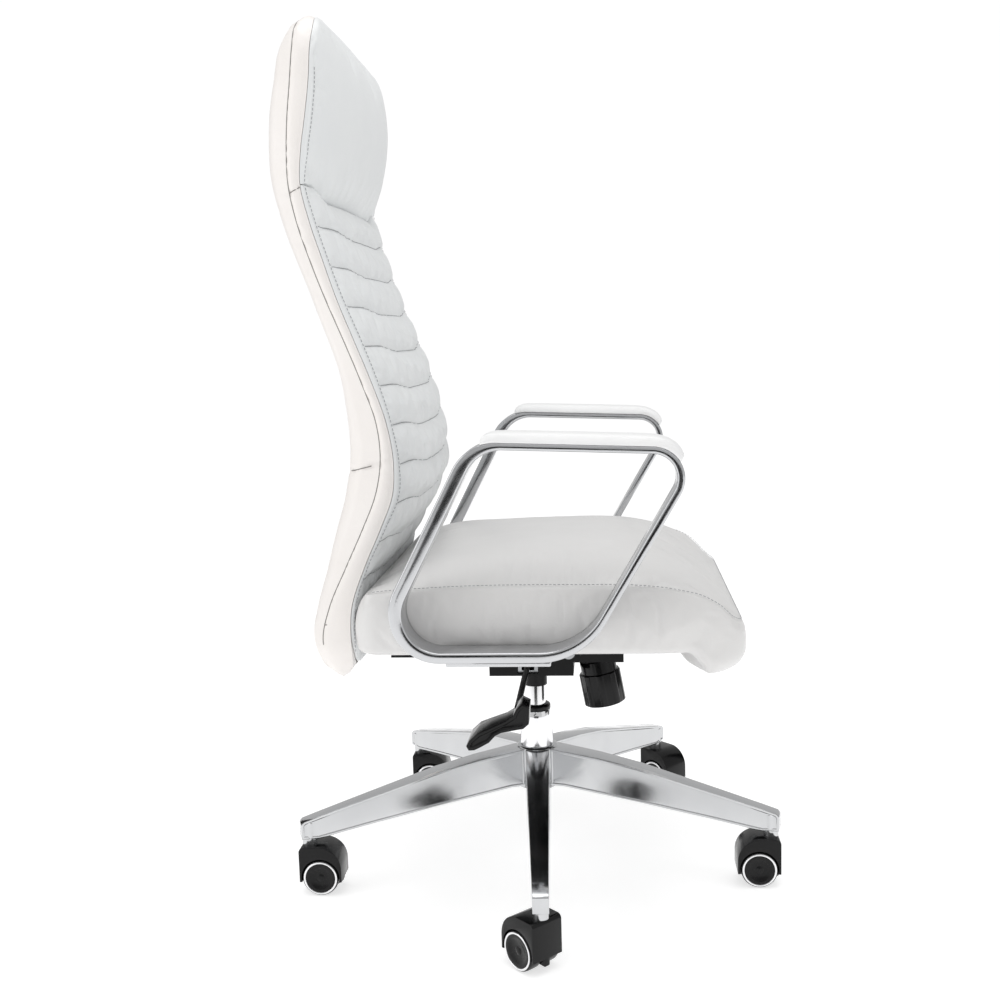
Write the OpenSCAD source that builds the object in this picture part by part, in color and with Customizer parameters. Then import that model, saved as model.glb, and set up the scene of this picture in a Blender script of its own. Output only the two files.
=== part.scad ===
// High-back swivel office chair with loop armrests on a five-leg caster base.
// Millimetres. +X is the front of the chair, +Y its left side, +Z up.
// The origin is on the floor, on the axis of the swivel column.

/* [Base] */
// Radius from the swivel axis to the tip of a leg
base_r = 345; // [330:1:355]
// Number of degrees that the base stands turned about its column
base_turn = 3.5; // [-6:0.5:6]
// Height of a leg's upper edge where it leaves the hub
leg_root_z = 168; // [160:1:172]
// Height of a leg's upper edge at its tip
leg_tip_z = 100; // [96:1:106]
// Width of a leg at the hub
leg_root_w = 34; // [28:1:36]
// Width of a leg at its tip
leg_tip_w = 20; // [19:1:24]

/* [Casters] */
// Radius of a caster wheel
wheel_r = 25; // [23:0.5:25]
// Width of one caster wheel
wheel_w = 19; // [16:1:19]
// Distance from the swivel stem to the wheel axle
trail = 18; // [16:1:20]

/* [Column] */
// Radius of the gas cylinder
gas_r = 14; // [13:0.5:14]
// Height of the top of the column's guide bush
bush_top_z = 228; // [224:1:232]
// Radius of the column where it meets the hub
column_root_r = 24; // [23:0.5:25]

/* [Seat] */
// Width of the seat cushion
seat_w = 496; // [470:2:500]
// Height of the cushion's lower face
seat_bottom_z = 362; // [362:1:366]
// Height of the cushion's crown
seat_crown_z = 480; // [470:1:486]
// Front-to-back position of the cushion's nose
seat_front_x = 276; // [265:1:285]
// Front-to-back position of the cushion's rear face
seat_rear_x = -207; // [-208:1:-200]

/* [Back] */
// Width of the backrest
back_w = 450; // [420:5:460]
// Height of the backrest's top edge
back_top_z = 1150; // [1130:2:1160]
// Height of the seam between the backrest and the headrest
headrest_z = 938; // [900:2:960]

/* [Arms] */
// Distance from the centre plane to the outer side of an arm loop
arm_outer_y = 300; // [298:1:306]
// Width of an arm loop's band, seen from above
arm_band_w = 44; // [36:1:44]
// Thickness of an arm pad
pad_t = 12; // [9:1:16]

/* [Hidden] */
$fn = 64;
eps = 0.01;
run = 0.05;                     // radial clearance of a running fit

// Base and casters
leg_angle = [for (i = [0:4]) 270 + base_turn + 72 * i];
caster_heading = [135, 180, -45, 0, 0];
stem_r = base_r - 12;           // distance from the column to a caster stem
stem_pin_r = 5.5;
stem_top_z = 92;
collar_z = 68;                  // lower end of the collar that holds a stem
hub_r = 30;
hub_bottom_z = 107;
leg_mid_r = 0.6 * base_r;
leg_mid_rise = 4;               // crown of a leg's upper edge over a straight line
axle_r = 4;
housing_w = 2 * wheel_w + 8;
web_t = 7;                      // wall between the two wheels
ring_r = wheel_r - 2;
ring_w = 2.4;
ring_depth = 1.5;
ring_proud = 0.5;
wheel_gap = 1;                  // between a wheel's inner side and the wall

// Column
column_foot_z = 37;
column_foot_r = 17.5;
column_bore_r = 16.4;
column_foot_t = 4;
hub_seat_r = 20;                // the column's body inside the hub
rod_r = 4;
rod_bottom_z = 31;
bearing_t = 5;
clip_t = 1.6;
cylinder_bottom_z = 75;
cylinder_top_z = 296;
cylinder_wall = 2.5;
piston_z = 190;

// Tilt mechanism
pivot_x = 50;
pivot_z = 315;
pivot_pin_r = 6;
box_half_w = 42;                // half width of the mechanism housing
box_wall = 4;
rear_box_x = -62;
rear_box_z = 279;
rear_box_top = 303;
front_box_x = 126;
front_box_z = 298;
front_box_top = 326;
socket_z = 256;
socket_r = 21;
plate_t = 5;
plate_z = seat_bottom_z - plate_t;
cheek_gap = 2;
knob_x = 94;
knob_z = 261;
knob_lean = 10;
knob_r = 28.5;
knob_h = 64;
lever_x = -8;
lever_z = 295;
lever_pivot_y = -30;
lever_rod_r = 4;
lever_rod_end_y = -238;
handle_near_y = -272;

// Seat and back
pan_t = 12;
pan_z = seat_bottom_z;          // the pan lies flush in the cushion's lower face
nose_z = seat_bottom_z - 24;    // the waterfall front dips below the cushion's lower face
shell_inset = 20;
shell_t = 8;
cover_t = 12;
bar_half_w = 40;
bar_t = 6;
bar_x = -222;
bar_top_z = 432;
bar_screw_z = [382, 412];
bar_screw_l = [37, 30];
// Side profile of the upholstered back: height, rear face, front face
back_stations = [
    [318, -243, -234], [335, -262, -230], [352, -269, -228], [380, -271, -226],
    [420, -263, -214], [470, -248, -192], [520, -232, -167], [560, -219, -150],
    [600, -213, -144], [650, -214, -150], [700, -220, -165], [750, -231, -183],
    [800, -249, -202], [850, -268, -220], [900, -286, -236], [938, -294, -243],
    [980, -297, -236], [1020, -294, -228], [1060, -287, -223], [1100, -277, -224],
    [1130, -268, -231], [1146, -260, -242], [1151, -254, -249]];

// Arms: lower rear, lower front, upper front and upper rear corners of the loop
arm_corners = [[-168, 380], [77, 380], [215, 615], [-40, 626]];
arm_inner_offset = [0, -4, -4, 0];
arm_outer_offset = [13, 5, 5, 17];
arm_inner_radii = [45, 85, 29, 46];
arm_outer_radii = [60, 96, 38, 58];
arm_inner_y = arm_outer_y - arm_band_w;
foot_t = 7;
foot_z = pan_z - foot_t;
foot_x = [-92, 36];
foot_reach_y = 160;
foot_end_y = arm_inner_y + 14;  // the foot runs into the inner half of the band

// ---- Outline functions ----

// One point of a Catmull-Rom curve
function spline_point(a, b, c, d, t) =
    0.5 * (2 * b + (c - a) * t + (2 * a - 5 * b + 4 * c - d) * t * t
           + (3 * b - a - 3 * c + d) * t * t * t);

// A smooth curve through the points, with n steps between neighbours
function smooth(p, n = 2) = concat(
    [for (i = [0:len(p) - 2], k = [0:n - 1])
        spline_point(p[max(i - 1, 0)], p[i], p[i + 1], p[min(i + 2, len(p) - 1)], k / n)],
    [p[len(p) - 1]]);

function unit(v) = v / norm(v);

// The arc that rounds corner p, between its neighbours a and b
function corner_arc(a, p, b, r, n = 8) =
    let (u = unit(a - p), v = unit(b - p), half = acos(u * v) / 2,
         c = p + unit(u + v) * r / sin(half),
         s = p + u * r / tan(half) - c, e = p + v * r / tan(half) - c,
         a0 = atan2(s.y, s.x), turn = (atan2(e.y, e.x) - a0 + 540) % 360 - 180)
    [for (k = [0:n]) c + r * [cos(a0 + turn * k / n), sin(a0 + turn * k / n)]];

// A closed outline with a radius at every corner
function rounded(p, radii, n = 8) =
    [for (i = [0:len(p) - 1])
        each corner_arc(p[(i + len(p) - 1) % len(p)], p[i], p[(i + 1) % len(p)], radii[i], n)];

// The corners of a convex outline after moving every edge outwards by its own distance
function moved_edges(p, d) =
    [for (i = [0:len(p) - 1])
        let (h = (i + len(p) - 1) % len(p), j = (i + 1) % len(p),
             u = unit(p[i] - p[h]), v = unit(p[j] - p[i]),
             m = [u.y, -u.x], n = [v.y, -v.x],
             s = m * p[i] + d[h], t = n * p[i] + d[i], det = m.x * n.y - m.y * n.x)
        [(s * n.y - t * m.y) / det, (m.x * t - n.x * s) / det]];

// Stands a drawing in X and Z upright and gives it a width from y0 to y1
module upright(y0, y1) {
    translate([0, y1, 0]) rotate([90, 0, 0]) linear_extrude(y1 - y0) children();
}

// A drawing in Y and Z, pulled along X from x0 to x1
module facing_front(x0, x1) {
    translate([x0, 0, 0]) rotate([90, 0, 90]) linear_extrude(x1 - x0) children();
}

module block(low, high) {
    translate(low) cube(high - low);
}

// ---- Base ----

module leg_side_outline() {
    polygon([[10, hub_bottom_z + 2], [hub_r + 15, hub_bottom_z + 5], [135, 103],
             [stem_r - 14, 70], [stem_r - 12, collar_z], [base_r, collar_z],
             [base_r, leg_tip_z - 3], [base_r - 4, leg_tip_z],
             [leg_mid_r, (leg_root_z + leg_tip_z * 1.5) / 2.5 + leg_mid_rise],
             [hub_r - 4, leg_root_z - 2], [10, leg_root_z - 2]]);
}

module leg() {
    intersection() {
        upright(-leg_root_w, leg_root_w) leg_side_outline();
        linear_extrude(leg_root_z + 1)
            polygon([[5, -leg_root_w / 2], [hub_r, -leg_root_w / 2],
                     [base_r - 8, -leg_tip_w / 2], [base_r, -leg_tip_w / 2 + 5],
                     [base_r, leg_tip_w / 2 - 5], [base_r - 8, leg_tip_w / 2],
                     [hub_r, leg_root_w / 2], [5, leg_root_w / 2]]);
    }
}

module leg_hollow() {
    wall = 3.5;
    intersection() {
        upright(-leg_root_w, leg_root_w)
            polygon([[hub_r + 10, hub_bottom_z - 30], [stem_r - 22, 50],
                     [stem_r - 22, leg_tip_z - 8], [leg_mid_r, 118],
                     [hub_r + 10, leg_root_z - 14]]);
        linear_extrude(leg_root_z)
            polygon([[hub_r, -leg_root_w / 2 + wall], [base_r, -leg_tip_w / 2 + wall],
                     [base_r, leg_tip_w / 2 - wall], [hub_r, leg_root_w / 2 - wall]]);
    }
}

module star_base() {
    color("silver") difference() {
        union() {
            translate([0, 0, hub_bottom_z]) cylinder(r = hub_r, h = leg_root_z - hub_bottom_z);
            for (a = leg_angle) rotate(a) leg();
        }
        for (a = leg_angle) rotate(a) {
            leg_hollow();
            translate([stem_r, 0, collar_z - 1])
                cylinder(r = stem_pin_r + run, h = stem_top_z + 1 - collar_z + 1);
        }
        translate([0, 0, hub_bottom_z - 10]) cylinder(r = hub_seat_r, h = 80);
    }
}

// ---- Column, gas cylinder and swivel rod ----

module gas_column() {
    color("gainsboro") difference() {
        rotate_extrude()
            polygon([[0, column_foot_z], [column_foot_r, column_foot_z],
                     [column_foot_r, hub_bottom_z - 4], [hub_seat_r, hub_bottom_z],
                     [hub_seat_r, leg_root_z], [column_root_r, leg_root_z],
                     [column_root_r, leg_root_z + 6], [20.2, bush_top_z - 8],
                     [0, bush_top_z - 8]]);
        translate([0, 0, column_foot_z + column_foot_t]) cylinder(r = column_bore_r, h = 200);
        translate([0, 0, column_foot_z - 1]) cylinder(r = rod_r + 1, h = column_foot_t + 2);
    }
}

module column_bush() {
    color("#151515") difference() {
        union() {
            translate([0, 0, 120]) cylinder(r = column_bore_r, h = bush_top_z - 128);
            translate([0, 0, bush_top_z - 8]) cylinder(r = 20.6, h = 6);
            translate([0, 0, bush_top_z - 2]) cylinder(r1 = 20.6, r2 = 18.6, h = 2);
        }
        translate([0, 0, 119]) cylinder(r = gas_r + run, h = 120);
    }
}

module piston_rod() {
    color("lightgrey") rotate_extrude()
        polygon([[0, rod_bottom_z], [rod_r - 0.6, rod_bottom_z], [rod_r, rod_bottom_z + 0.6],
                 [rod_r, column_foot_z - 0.1 - clip_t], [rod_r - 0.8, column_foot_z - 0.1 - clip_t],
                 [rod_r - 0.8, column_foot_z - 0.1], [rod_r, column_foot_z - 0.1],
                 [rod_r, piston_z], [gas_r - cylinder_wall - run, piston_z],
                 [gas_r - cylinder_wall - run, piston_z + 16], [0, piston_z + 16]]);
}

module thrust_bearing() {
    color("darkgrey") translate([0, 0, column_foot_z + column_foot_t + 0.1]) difference() {
        union() {
            cylinder(r = 13, h = 1.2);
            translate([0, 0, 1.2]) cylinder(r = 12, h = bearing_t - 2.4);
            translate([0, 0, bearing_t - 1.2]) cylinder(r = 13, h = 1.2);
        }
        translate([0, 0, -1]) cylinder(r = rod_r, h = bearing_t + 2);
    }
}

module retaining_clip() {
    color("dimgrey") translate([0, 0, column_foot_z - 0.1 - clip_t]) difference() {
        cylinder(r = 8, h = clip_t);
        translate([0, 0, -1]) cylinder(r = rod_r - 0.8, h = clip_t + 2);
        block([2, -2.4, -1], [10, 2.4, clip_t + 1]);
    }
}

module gas_cylinder() {
    color("gainsboro") difference() {
        translate([0, 0, cylinder_bottom_z])
            cylinder(r = gas_r, h = cylinder_top_z - cylinder_bottom_z);
        translate([0, 0, cylinder_bottom_z + 5])
            cylinder(r = gas_r - cylinder_wall, h = cylinder_top_z - cylinder_bottom_z - 17);
        translate([0, 0, cylinder_bottom_z - 1]) cylinder(r = rod_r + run, h = 8);
        translate([0, 0, cylinder_top_z - 10]) cylinder(r = 3 + run, h = 11);
    }
}

module valve_button() {
    color("goldenrod") translate([0, 0, cylinder_top_z - 6]) cylinder(r = 3, h = 13);
}

// ---- Tilt mechanism ----

module at_knob() {
    translate([knob_x, 0, knob_z]) rotate([0, -knob_lean, 0]) children();
}

module mechanism_housing() {
    w = box_half_w;
    color("#1a1a1a") difference() {
        union() {
            block([rear_box_x, -w, rear_box_z], [pivot_x + 6, w, rear_box_top]);
            block([pivot_x - 8, -w, front_box_z], [front_box_x, w, front_box_top]);
            translate([0, 0, socket_z]) cylinder(r = 16.5, h = 30);
            translate([0, 0, 272]) cylinder(r = socket_r, h = 10);
            for (y = [-w, w - 6])
                translate([pivot_x, y + 6, pivot_z]) rotate([90, 0, 0]) cylinder(r = 12, h = 6);
        }
        difference() {
            block([rear_box_x + box_wall, -w + box_wall, rear_box_z + 3],
                  [pivot_x - 12, w - box_wall, rear_box_top + 1]);
            translate([0, 0, rear_box_z]) cylinder(r = socket_r, h = 17);
        }
        block([pivot_x + 14, -w + box_wall, front_box_z + 3],
              [front_box_x - box_wall, w - box_wall, front_box_top + 1]);
        translate([0, 0, socket_z - 1]) cylinder(r = gas_r, h = 41);
        translate([pivot_x, w + 1, pivot_z]) rotate([90, 0, 0])
            cylinder(r = pivot_pin_r, h = 2 * w + 2);
        at_knob() cylinder(r = 5 + run, h = 60);
        block([lever_x - 15, -w - 1, rear_box_z + 3], [lever_x + 15, -w + 8, rear_box_top + 1]);
    }
}

module tilt_axle() {
    half = box_half_w + cheek_gap + 8;
    color("silver") translate([pivot_x, half, pivot_z]) rotate([90, 0, 0]) union() {
        cylinder(r = pivot_pin_r, h = 2 * half);
        translate([0, 0, -2.2]) cylinder(r = 9, h = 2);
        translate([0, 0, -0.5]) cylinder(r = pivot_pin_r, h = 1);
        translate([0, 0, 2 * half + 0.2]) cylinder(r = 9, h = 2);
        translate([0, 0, 2 * half - 0.5]) cylinder(r = pivot_pin_r, h = 1);
    }
}

// A coil spring as one swept tube around the tension bolt
function coil_ring(c, a, r, wire, sides) =
    [for (s = [0:sides - 1])
        [(r + wire * cos(360 * s / sides)) * cos(a), (r + wire * cos(360 * s / sides)) * sin(a),
         c + wire * sin(360 * s / sides)]];

module coil(r, wire, height, turns, sides = 8, per_turn = 24) {
    rings = turns * per_turn;
    points = [for (k = [0:rings])
        each coil_ring(height * k / rings, 360 * k / per_turn, r, wire, sides)];
    walls = [for (k = [0:rings - 1], s = [0:sides - 1])
        [k * sides + s, k * sides + (s + 1) % sides,
         (k + 1) * sides + (s + 1) % sides, (k + 1) * sides + s]];
    ends = [[for (s = [0:sides - 1]) sides - 1 - s],
            [for (s = [0:sides - 1]) rings * sides + s]];
    polyhedron(points, concat(walls, ends), convexity = 6);
}

module tension_spring() {
    color("darkgrey") at_knob() translate([0, 0, 42.5]) coil(10.5, 1.8, 14, 3);
}

module tension_bolt() {
    color("silver") at_knob() union() {
        translate([0, 0, knob_h / 2]) cylinder(r = 5, h = 64 - knob_h / 2);
        translate([0, 0, 59]) cylinder(r = 14, h = 2);
        translate([0, 0, 61]) cylinder(r = 8.5, h = 5, $fn = 6);
    }
}

module tension_knob() {
    grips = 12;
    color("#101010") at_knob() difference() {
        union() {
            translate([0, 0, -knob_h / 2]) cylinder(r1 = knob_r - 3, r2 = knob_r, h = 3);
            translate([0, 0, -knob_h / 2 + 3]) cylinder(r = knob_r, h = knob_h - 21);
            translate([0, 0, knob_h / 2 - 18]) cylinder(r = knob_r - 2.5, h = 18);
        }
        for (i = [0:grips - 1]) rotate(360 / grips * i)
            translate([knob_r + 4.5, 0, -knob_h / 2 - 1]) cylinder(r = 6, h = knob_h - 17);
    }
}

module lock_slider() {
    z0 = rear_box_z + 3.3;
    color("slategrey") difference() {
        union() {
            block([lever_x - 14, lever_pivot_y - 6, z0], [lever_x + 14, lever_pivot_y + 6, z0 + 3]);
            for (x = [lever_x - 14, lever_x + 9])
                block([x, lever_pivot_y - 6, z0], [x + 5, lever_pivot_y + 6, lever_z + 6]);
        }
        translate([lever_x - 15, lever_pivot_y, lever_z]) rotate([0, 90, 0])
            cylinder(r = 2 + run, h = 30);
    }
}

module lever_rod() {
    color("#202020") union() {
        translate([lever_x, lever_pivot_y + 6, lever_z]) rotate([90, 0, 0])
            cylinder(r = lever_rod_r, h = lever_pivot_y + 6 - lever_rod_end_y);
        translate([lever_x - 14, lever_pivot_y, lever_z]) rotate([0, 90, 0])
            cylinder(r = 2, h = 28);
        block([lever_x - 3, -28, lever_z], [lever_x + 3, -22.5, 308]);
        block([lever_x - 3, -28, 303.5], [4, 3, 308]);
    }
}

module lever_handle() {
    color("#101010") difference() {
        intersection() {
            upright(handle_near_y, lever_rod_end_y + 16)
                polygon([[8, 304], [-3, 308], [-10, 296], [-18, 288], [-40, 279], [-58, 272],
                         [-70, 257], [-67, 250], [-54, 252], [-40, 256], [-33, 264],
                         [-20, 265], [2, 268], [8, 276]]);
            translate([0, 0, 240]) linear_extrude(80)
                polygon([[9, -262], [9, -226], [-34, -230], [-50, -222], [-72, -224],
                         [-72, -271], [-50, -272], [-20, -264]]);
        }
        translate([lever_x, lever_rod_end_y + 20, lever_z]) rotate([90, 0, 0])
            cylinder(r = lever_rod_r, h = 20);
    }
}

module seat_plate() {
    y0 = box_half_w + cheek_gap;
    color("#1a1a1a") difference() {
        union() {
            block([-95, -75, plate_z], [130, 75, plate_z + plate_t]);
            for (y = [-y0 - 5, y0])
                upright(y, y + 5)
                    polygon([[pivot_x - 12, pivot_z], [pivot_x - 9, pivot_z - 9],
                             [pivot_x + 9, pivot_z - 9], [pivot_x + 12, pivot_z],
                             [pivot_x + 44, plate_z + 1], [pivot_x - 44, plate_z + 1]]);
        }
        translate([pivot_x, 100, pivot_z]) rotate([90, 0, 0])
            cylinder(r = pivot_pin_r + run, h = 200);
        for (x = [-80, 115], y = [-60, 60])
            translate([x, y, plate_z - 1]) cylinder(r = 3.2, h = plate_t + 2);
    }
}

// ---- Seat ----

module plan_outline(x0, x1, half_w, r) {
    polygon(rounded([[x0, -half_w], [x1, -half_w], [x1, half_w], [x0, half_w]], [r, r, r, r]));
}

module pan_outline() {
    plan_outline(seat_rear_x + 12, 190, seat_w / 2 - 18, 40);
}

module seat_pan() {
    color("burlywood") difference() {
        translate([0, 0, pan_z]) linear_extrude(pan_t) pan_outline();
        for (x = [-80, 115], y = [-60, 60])
            translate([x, y, pan_z - 1]) cylinder(r = 3, h = pan_t + 2);
        for (s = [-1, 1], x = [-75, -28, 19])
            translate([x, s * 190, pan_z - 1]) cylinder(r = 3, h = pan_t + 2);
        for (y = [-22, 22])
            translate([-150, y, pan_z - 1]) cylinder(r = 3, h = pan_t + 2);
    }
}

module seat_cushion() {
    color("white") difference() {
        seat_upholstery(seat_w / 2);
        translate([0, 0, pan_z - 1]) linear_extrude(pan_t + 1) pan_outline();
    }
}

module seat_upholstery(half) {
    intersection() {
        upright(-half, half)
            polygon(rounded([[seat_rear_x, seat_bottom_z], [198, seat_bottom_z],
                             [232, nose_z - 4], [seat_front_x + 3, nose_z + 8],
                             [seat_front_x - 2, 440], [205, seat_crown_z - 1],
                             [20, seat_crown_z + 2], [seat_rear_x + 22, 465],
                             [seat_rear_x + 2, 422]],
                            [12, 20, 22, 40, 45, 60, 200, 18, 40]));
        facing_front(seat_rear_x - 1, seat_front_x + 5)
            polygon(rounded([[-half, nose_z - 10], [half, nose_z - 10], [half, 452],
                             [half * 0.5, seat_crown_z + 1], [-half * 0.5, seat_crown_z + 1],
                             [-half, 452]], [2, 2, 18, 200, 200, 18]));
        translate([0, 0, nose_z - 10]) linear_extrude(200)
            plan_outline(seat_rear_x, seat_front_x, half, 48);
    }
}

module bottom_cover() {
    cover_h = 3;
    rib_h = 9;
    color("#121212") difference() {
        union() {
            translate([0, 0, pan_z - cover_h]) linear_extrude(cover_h)
                plan_outline(seat_rear_x + 18, 184, seat_w / 2 - 24, 38);
            for (s = [-1, 1], i = [0:3]) {
                x = -176 + 19 * i;
                upright(s * 196 - 2, s * 196 + 2)
                    polygon([[x, pan_z - 2], [x + 3, pan_z - 2], [x + 12, pan_z - cover_h - rib_h],
                             [x + 7, pan_z - cover_h - rib_h]]);
            }
            for (s = [-1, 1])
                block([-172, s * 196 - 2, pan_z - cover_h - rib_h - 2],
                      [-96, s * 196 + 2, pan_z - cover_h - rib_h + 1]);
        }
        block([-98, -78, pan_z - 6], [133, 78, pan_z + 1]);
        for (s = [-1, 1])
            block([foot_x[0] - 2, min(s * 156, s * 260), pan_z - 6],
                  [foot_x[1] + 2, max(s * 156, s * 260), pan_z + 1]);
        block([-230, -bar_half_w - 2, pan_z - 6], [-90, bar_half_w + 2, pan_z + 1]);
    }
}

// ---- Back ----

module back_slab(rear_offset, front_offset, low, high, half_w, top_r) {
    curve = smooth(back_stations);
    rear = [for (s = curve) [s[1] + rear_offset, s[0]]];
    front = [for (k = [len(curve) - 1:-1:0])
        [max(min(curve[k][2], curve[k][2] + front_offset), curve[k][1] + rear_offset + 1),
         curve[k][0]]];
    intersection() {
        upright(-half_w, half_w) polygon(concat(front, rear));
        facing_front(-320, -100)
            polygon(rounded([[-half_w, low], [half_w, low], [half_w, min(high, back_top_z - 26)],
                             [half_w * 0.5, high], [-half_w * 0.5, high],
                             [-half_w, min(high, back_top_z - 26)]],
                            [top_r, top_r, 2, 2, 2, 2], 4));
    }
}

// A sheet that follows the back's curve, between two depths behind its rear face
module back_sheet(near_offset, far_offset, low, high, half_w, corner_r) {
    curve = smooth(back_stations);
    intersection() {
        upright(-half_w, half_w)
            polygon(concat([for (s = curve) [s[1] + near_offset, s[0]]],
                           [for (k = [len(curve) - 1:-1:0])
                               [curve[k][1] + far_offset, curve[k][0]]]));
        facing_front(-320, -100)
            polygon(rounded([[-half_w, low], [half_w, low], [half_w, high], [-half_w, high]],
                            [corner_r, corner_r, corner_r, corner_r]));
    }
}

module back_shell() {
    color("burlywood") difference() {
        back_sheet(cover_t + 0.5, cover_t + 0.5 + shell_t, 358, back_top_z - 60,
                   back_w / 2 - shell_inset, 40);
        for (z = bar_screw_z, y = [-22, 22])
            translate([-320, y, z]) rotate([0, 90, 0]) cylinder(r = 3, h = 200);
    }
}

// The padded rear cover closes around the shell at its lower and upper ends
module back_cover() {
    half_w = back_w / 2;
    color("white") difference() {
        back_slab(0, 0, 319, back_top_z, half_w, 40);
        intersection() {
            back_sheet(cover_t, 200, 350, 2000, half_w + 5, 1);
            block([-400, -half_w - 5, 350], [0, half_w + 5, back_top_z - 14]);
        }
    }
}

module back_cushion() {
    color("white") difference() {
        back_sheet_front(352, headrest_z - 0.5);
        block([bar_x - bar_t / 2 - 1, -bar_half_w - 2, 300],
              [-150, bar_half_w + 2, bar_top_z + 4]);
        for (z = bar_screw_z, y = [-22, 22])
            translate([-320, y, z]) rotate([0, 90, 0]) cylinder(r = 3, h = 100);
    }
}

module headrest_cushion() {
    color("white") back_sheet_front(headrest_z + 0.5, back_top_z - 15);
}

// The padding in front of the shell, between two heights
module back_sheet_front(low, high) {
    intersection() {
        back_slab(cover_t + shell_t + 1, 0, low, back_top_z, back_w / 2, 1);
        block([-400, -300, low], [0, 300, high]);
    }
}

module back_bracket() {
    color("#1a1a1a") difference() {
        union() {
            block([bar_x, -bar_half_w, pan_z - bar_t], [-98.5, bar_half_w, pan_z]);
            block([bar_x - bar_t / 2, -bar_half_w, pan_z - bar_t],
                  [bar_x + bar_t / 2, bar_half_w, bar_top_z]);
        }
        for (y = [-22, 22]) {
            translate([-150, y, pan_z - 10]) cylinder(r = 3.2, h = 20);
            for (z = bar_screw_z)
                translate([bar_x - 10, y, z]) rotate([0, 90, 0]) cylinder(r = 3.2, h = 20);
        }
    }
}

// ---- Arms ----

module arm_loop_outline() {
    difference() {
        polygon(rounded(moved_edges(arm_corners, arm_outer_offset), arm_outer_radii));
        polygon(rounded(moved_edges(arm_corners, arm_inner_offset), arm_inner_radii));
    }
}

module arm_loop(side) {
    color("silver") difference() {
        union() {
            upright(min(side * arm_inner_y, side * arm_outer_y),
                    max(side * arm_inner_y, side * arm_outer_y)) arm_loop_outline();
            block([foot_x[0], min(side * foot_reach_y, side * foot_end_y), foot_z],
                  [foot_x[1], max(side * foot_reach_y, side * foot_end_y), pan_z]);
            upright(min(side * arm_inner_y, side * foot_end_y),
                    max(side * arm_inner_y, side * foot_end_y))
                polygon([[foot_x[0], foot_z], [foot_x[1], foot_z], [foot_x[1] + 12, 372],
                         [foot_x[0] - 12, 372]]);
        }
        for (x = [-75, -28, 19])
            translate([x, side * 190, foot_z - 1]) cylinder(r = 3.2, h = foot_t + 2);
    }
}

module arm_pad(side) {
    band = moved_edges(arm_corners, arm_outer_offset);
    raised = moved_edges(arm_corners, arm_outer_offset + [0, pad_t, pad_t, pad_t]);
    half = arm_band_w / 2 + 3;
    mid = side * (arm_outer_y - arm_band_w / 2);
    color("white") intersection() {
        upright(mid - half, mid + half) difference() {
            polygon(rounded(raised, [60, 96, 48, 70]));
            polygon(rounded(band, arm_outer_radii));
        }
        block([-38, -400, 602], [196, 400, 700]);
    }
}

// ---- Fasteners ----

module screw(length, head_r = 5.5) {
    cylinder(r = 2.9, h = length);
    translate([0, 0, -3]) cylinder(r = head_r, h = 3 + eps);
}

module screws() {
    color("dimgrey") {
        for (x = [-80, 115], y = [-60, 60]) translate([x, y, plate_z]) screw(14);
        for (side = [-1, 1], x = [-75, -28, 19]) translate([x, side * 190, foot_z]) screw(16);
        for (y = [-22, 22]) translate([-150, y, pan_z - bar_t]) screw(15);
        for (k = [0, 1], y = [-22, 22])
            translate([bar_x + bar_t / 2, y, bar_screw_z[k]]) rotate([0, -90, 0])
                screw(bar_screw_l[k]);
    }
}

// ---- Casters ----

// Places a caster so that its X axis runs from the stem to the axle, with the stem over its origin
module at_caster(i) {
    rotate(leg_angle[i - 1]) translate([stem_r, 0, 0])
        rotate(caster_heading[i - 1] - leg_angle[i - 1]) children();
}

module hood(half_w) {
    top = collar_z - 0.6;
    translate([trail, half_w, wheel_r]) rotate([90, 0, 0])
        cylinder(r = wheel_r + 3, h = 2 * half_w);
    upright(-half_w, half_w)
        polygon([[-11, wheel_r + 2], [-11, top - 5], [-7, top], [trail - 6, top],
                 [trail + 12, top - 8], [trail + 20, top - 16], [trail, wheel_r]]);
}

module caster_housing(i) {
    cavity_w = (housing_w - web_t) / 2;
    color("#111111") at_caster(i) difference() {
        hood(housing_w / 2);
        for (s = [-1, 1]) {
            translate([trail, s * (web_t / 2 + cavity_w / 2 + 0.5), wheel_r]) rotate([90, 0, 0])
                cylinder(r = wheel_r + 1.2, h = cavity_w + 1, center = true);
            block([-40, min(s * web_t / 2, s * 60), -10], [80, max(s * web_t / 2, s * 60), wheel_r - 6]);
        }
        block([-40, -40, -10], [80, 40, 5]);
        translate([trail, housing_w / 2, wheel_r]) rotate([90, 0, 0])
            cylinder(r = axle_r, h = housing_w);
        translate([0, 0, 44]) cylinder(r = stem_pin_r, h = 30);
    }
}

module caster_pins(i) {
    half = web_t / 2 + wheel_gap + wheel_w - 3.2;
    color("silver") at_caster(i) {
        translate([trail, half, wheel_r]) rotate([90, 0, 0]) cylinder(r = axle_r, h = 2 * half);
        translate([0, 0, 44]) cylinder(r = stem_pin_r, h = stem_top_z - 45);
        translate([0, 0, stem_top_z - 1]) cylinder(r1 = stem_pin_r, r2 = stem_pin_r - 1, h = 1);
    }
}

// A wheel on the side +1 (left, towards local +Y) or -1
module on_wheel_side(i, s) {
    at_caster(i) translate([trail, s * (web_t / 2 + wheel_gap), wheel_r])
        rotate([s * -90, 0, 0]) children();
}

module caster_wheel(i, s) {
    color("#161616") on_wheel_side(i, s) difference() {
        rotate_extrude()
            polygon([[0, 0], [wheel_r - 2, 0], [wheel_r, 2], [wheel_r, wheel_w - 3],
                     [wheel_r - 1.5, wheel_w - ring_depth], [ring_r - ring_w, wheel_w - ring_depth],
                     [ring_r - ring_w, wheel_w], [0, wheel_w]]);
        translate([0, 0, -1]) cylinder(r = axle_r + run, h = wheel_w - 2);
    }
}

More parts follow.
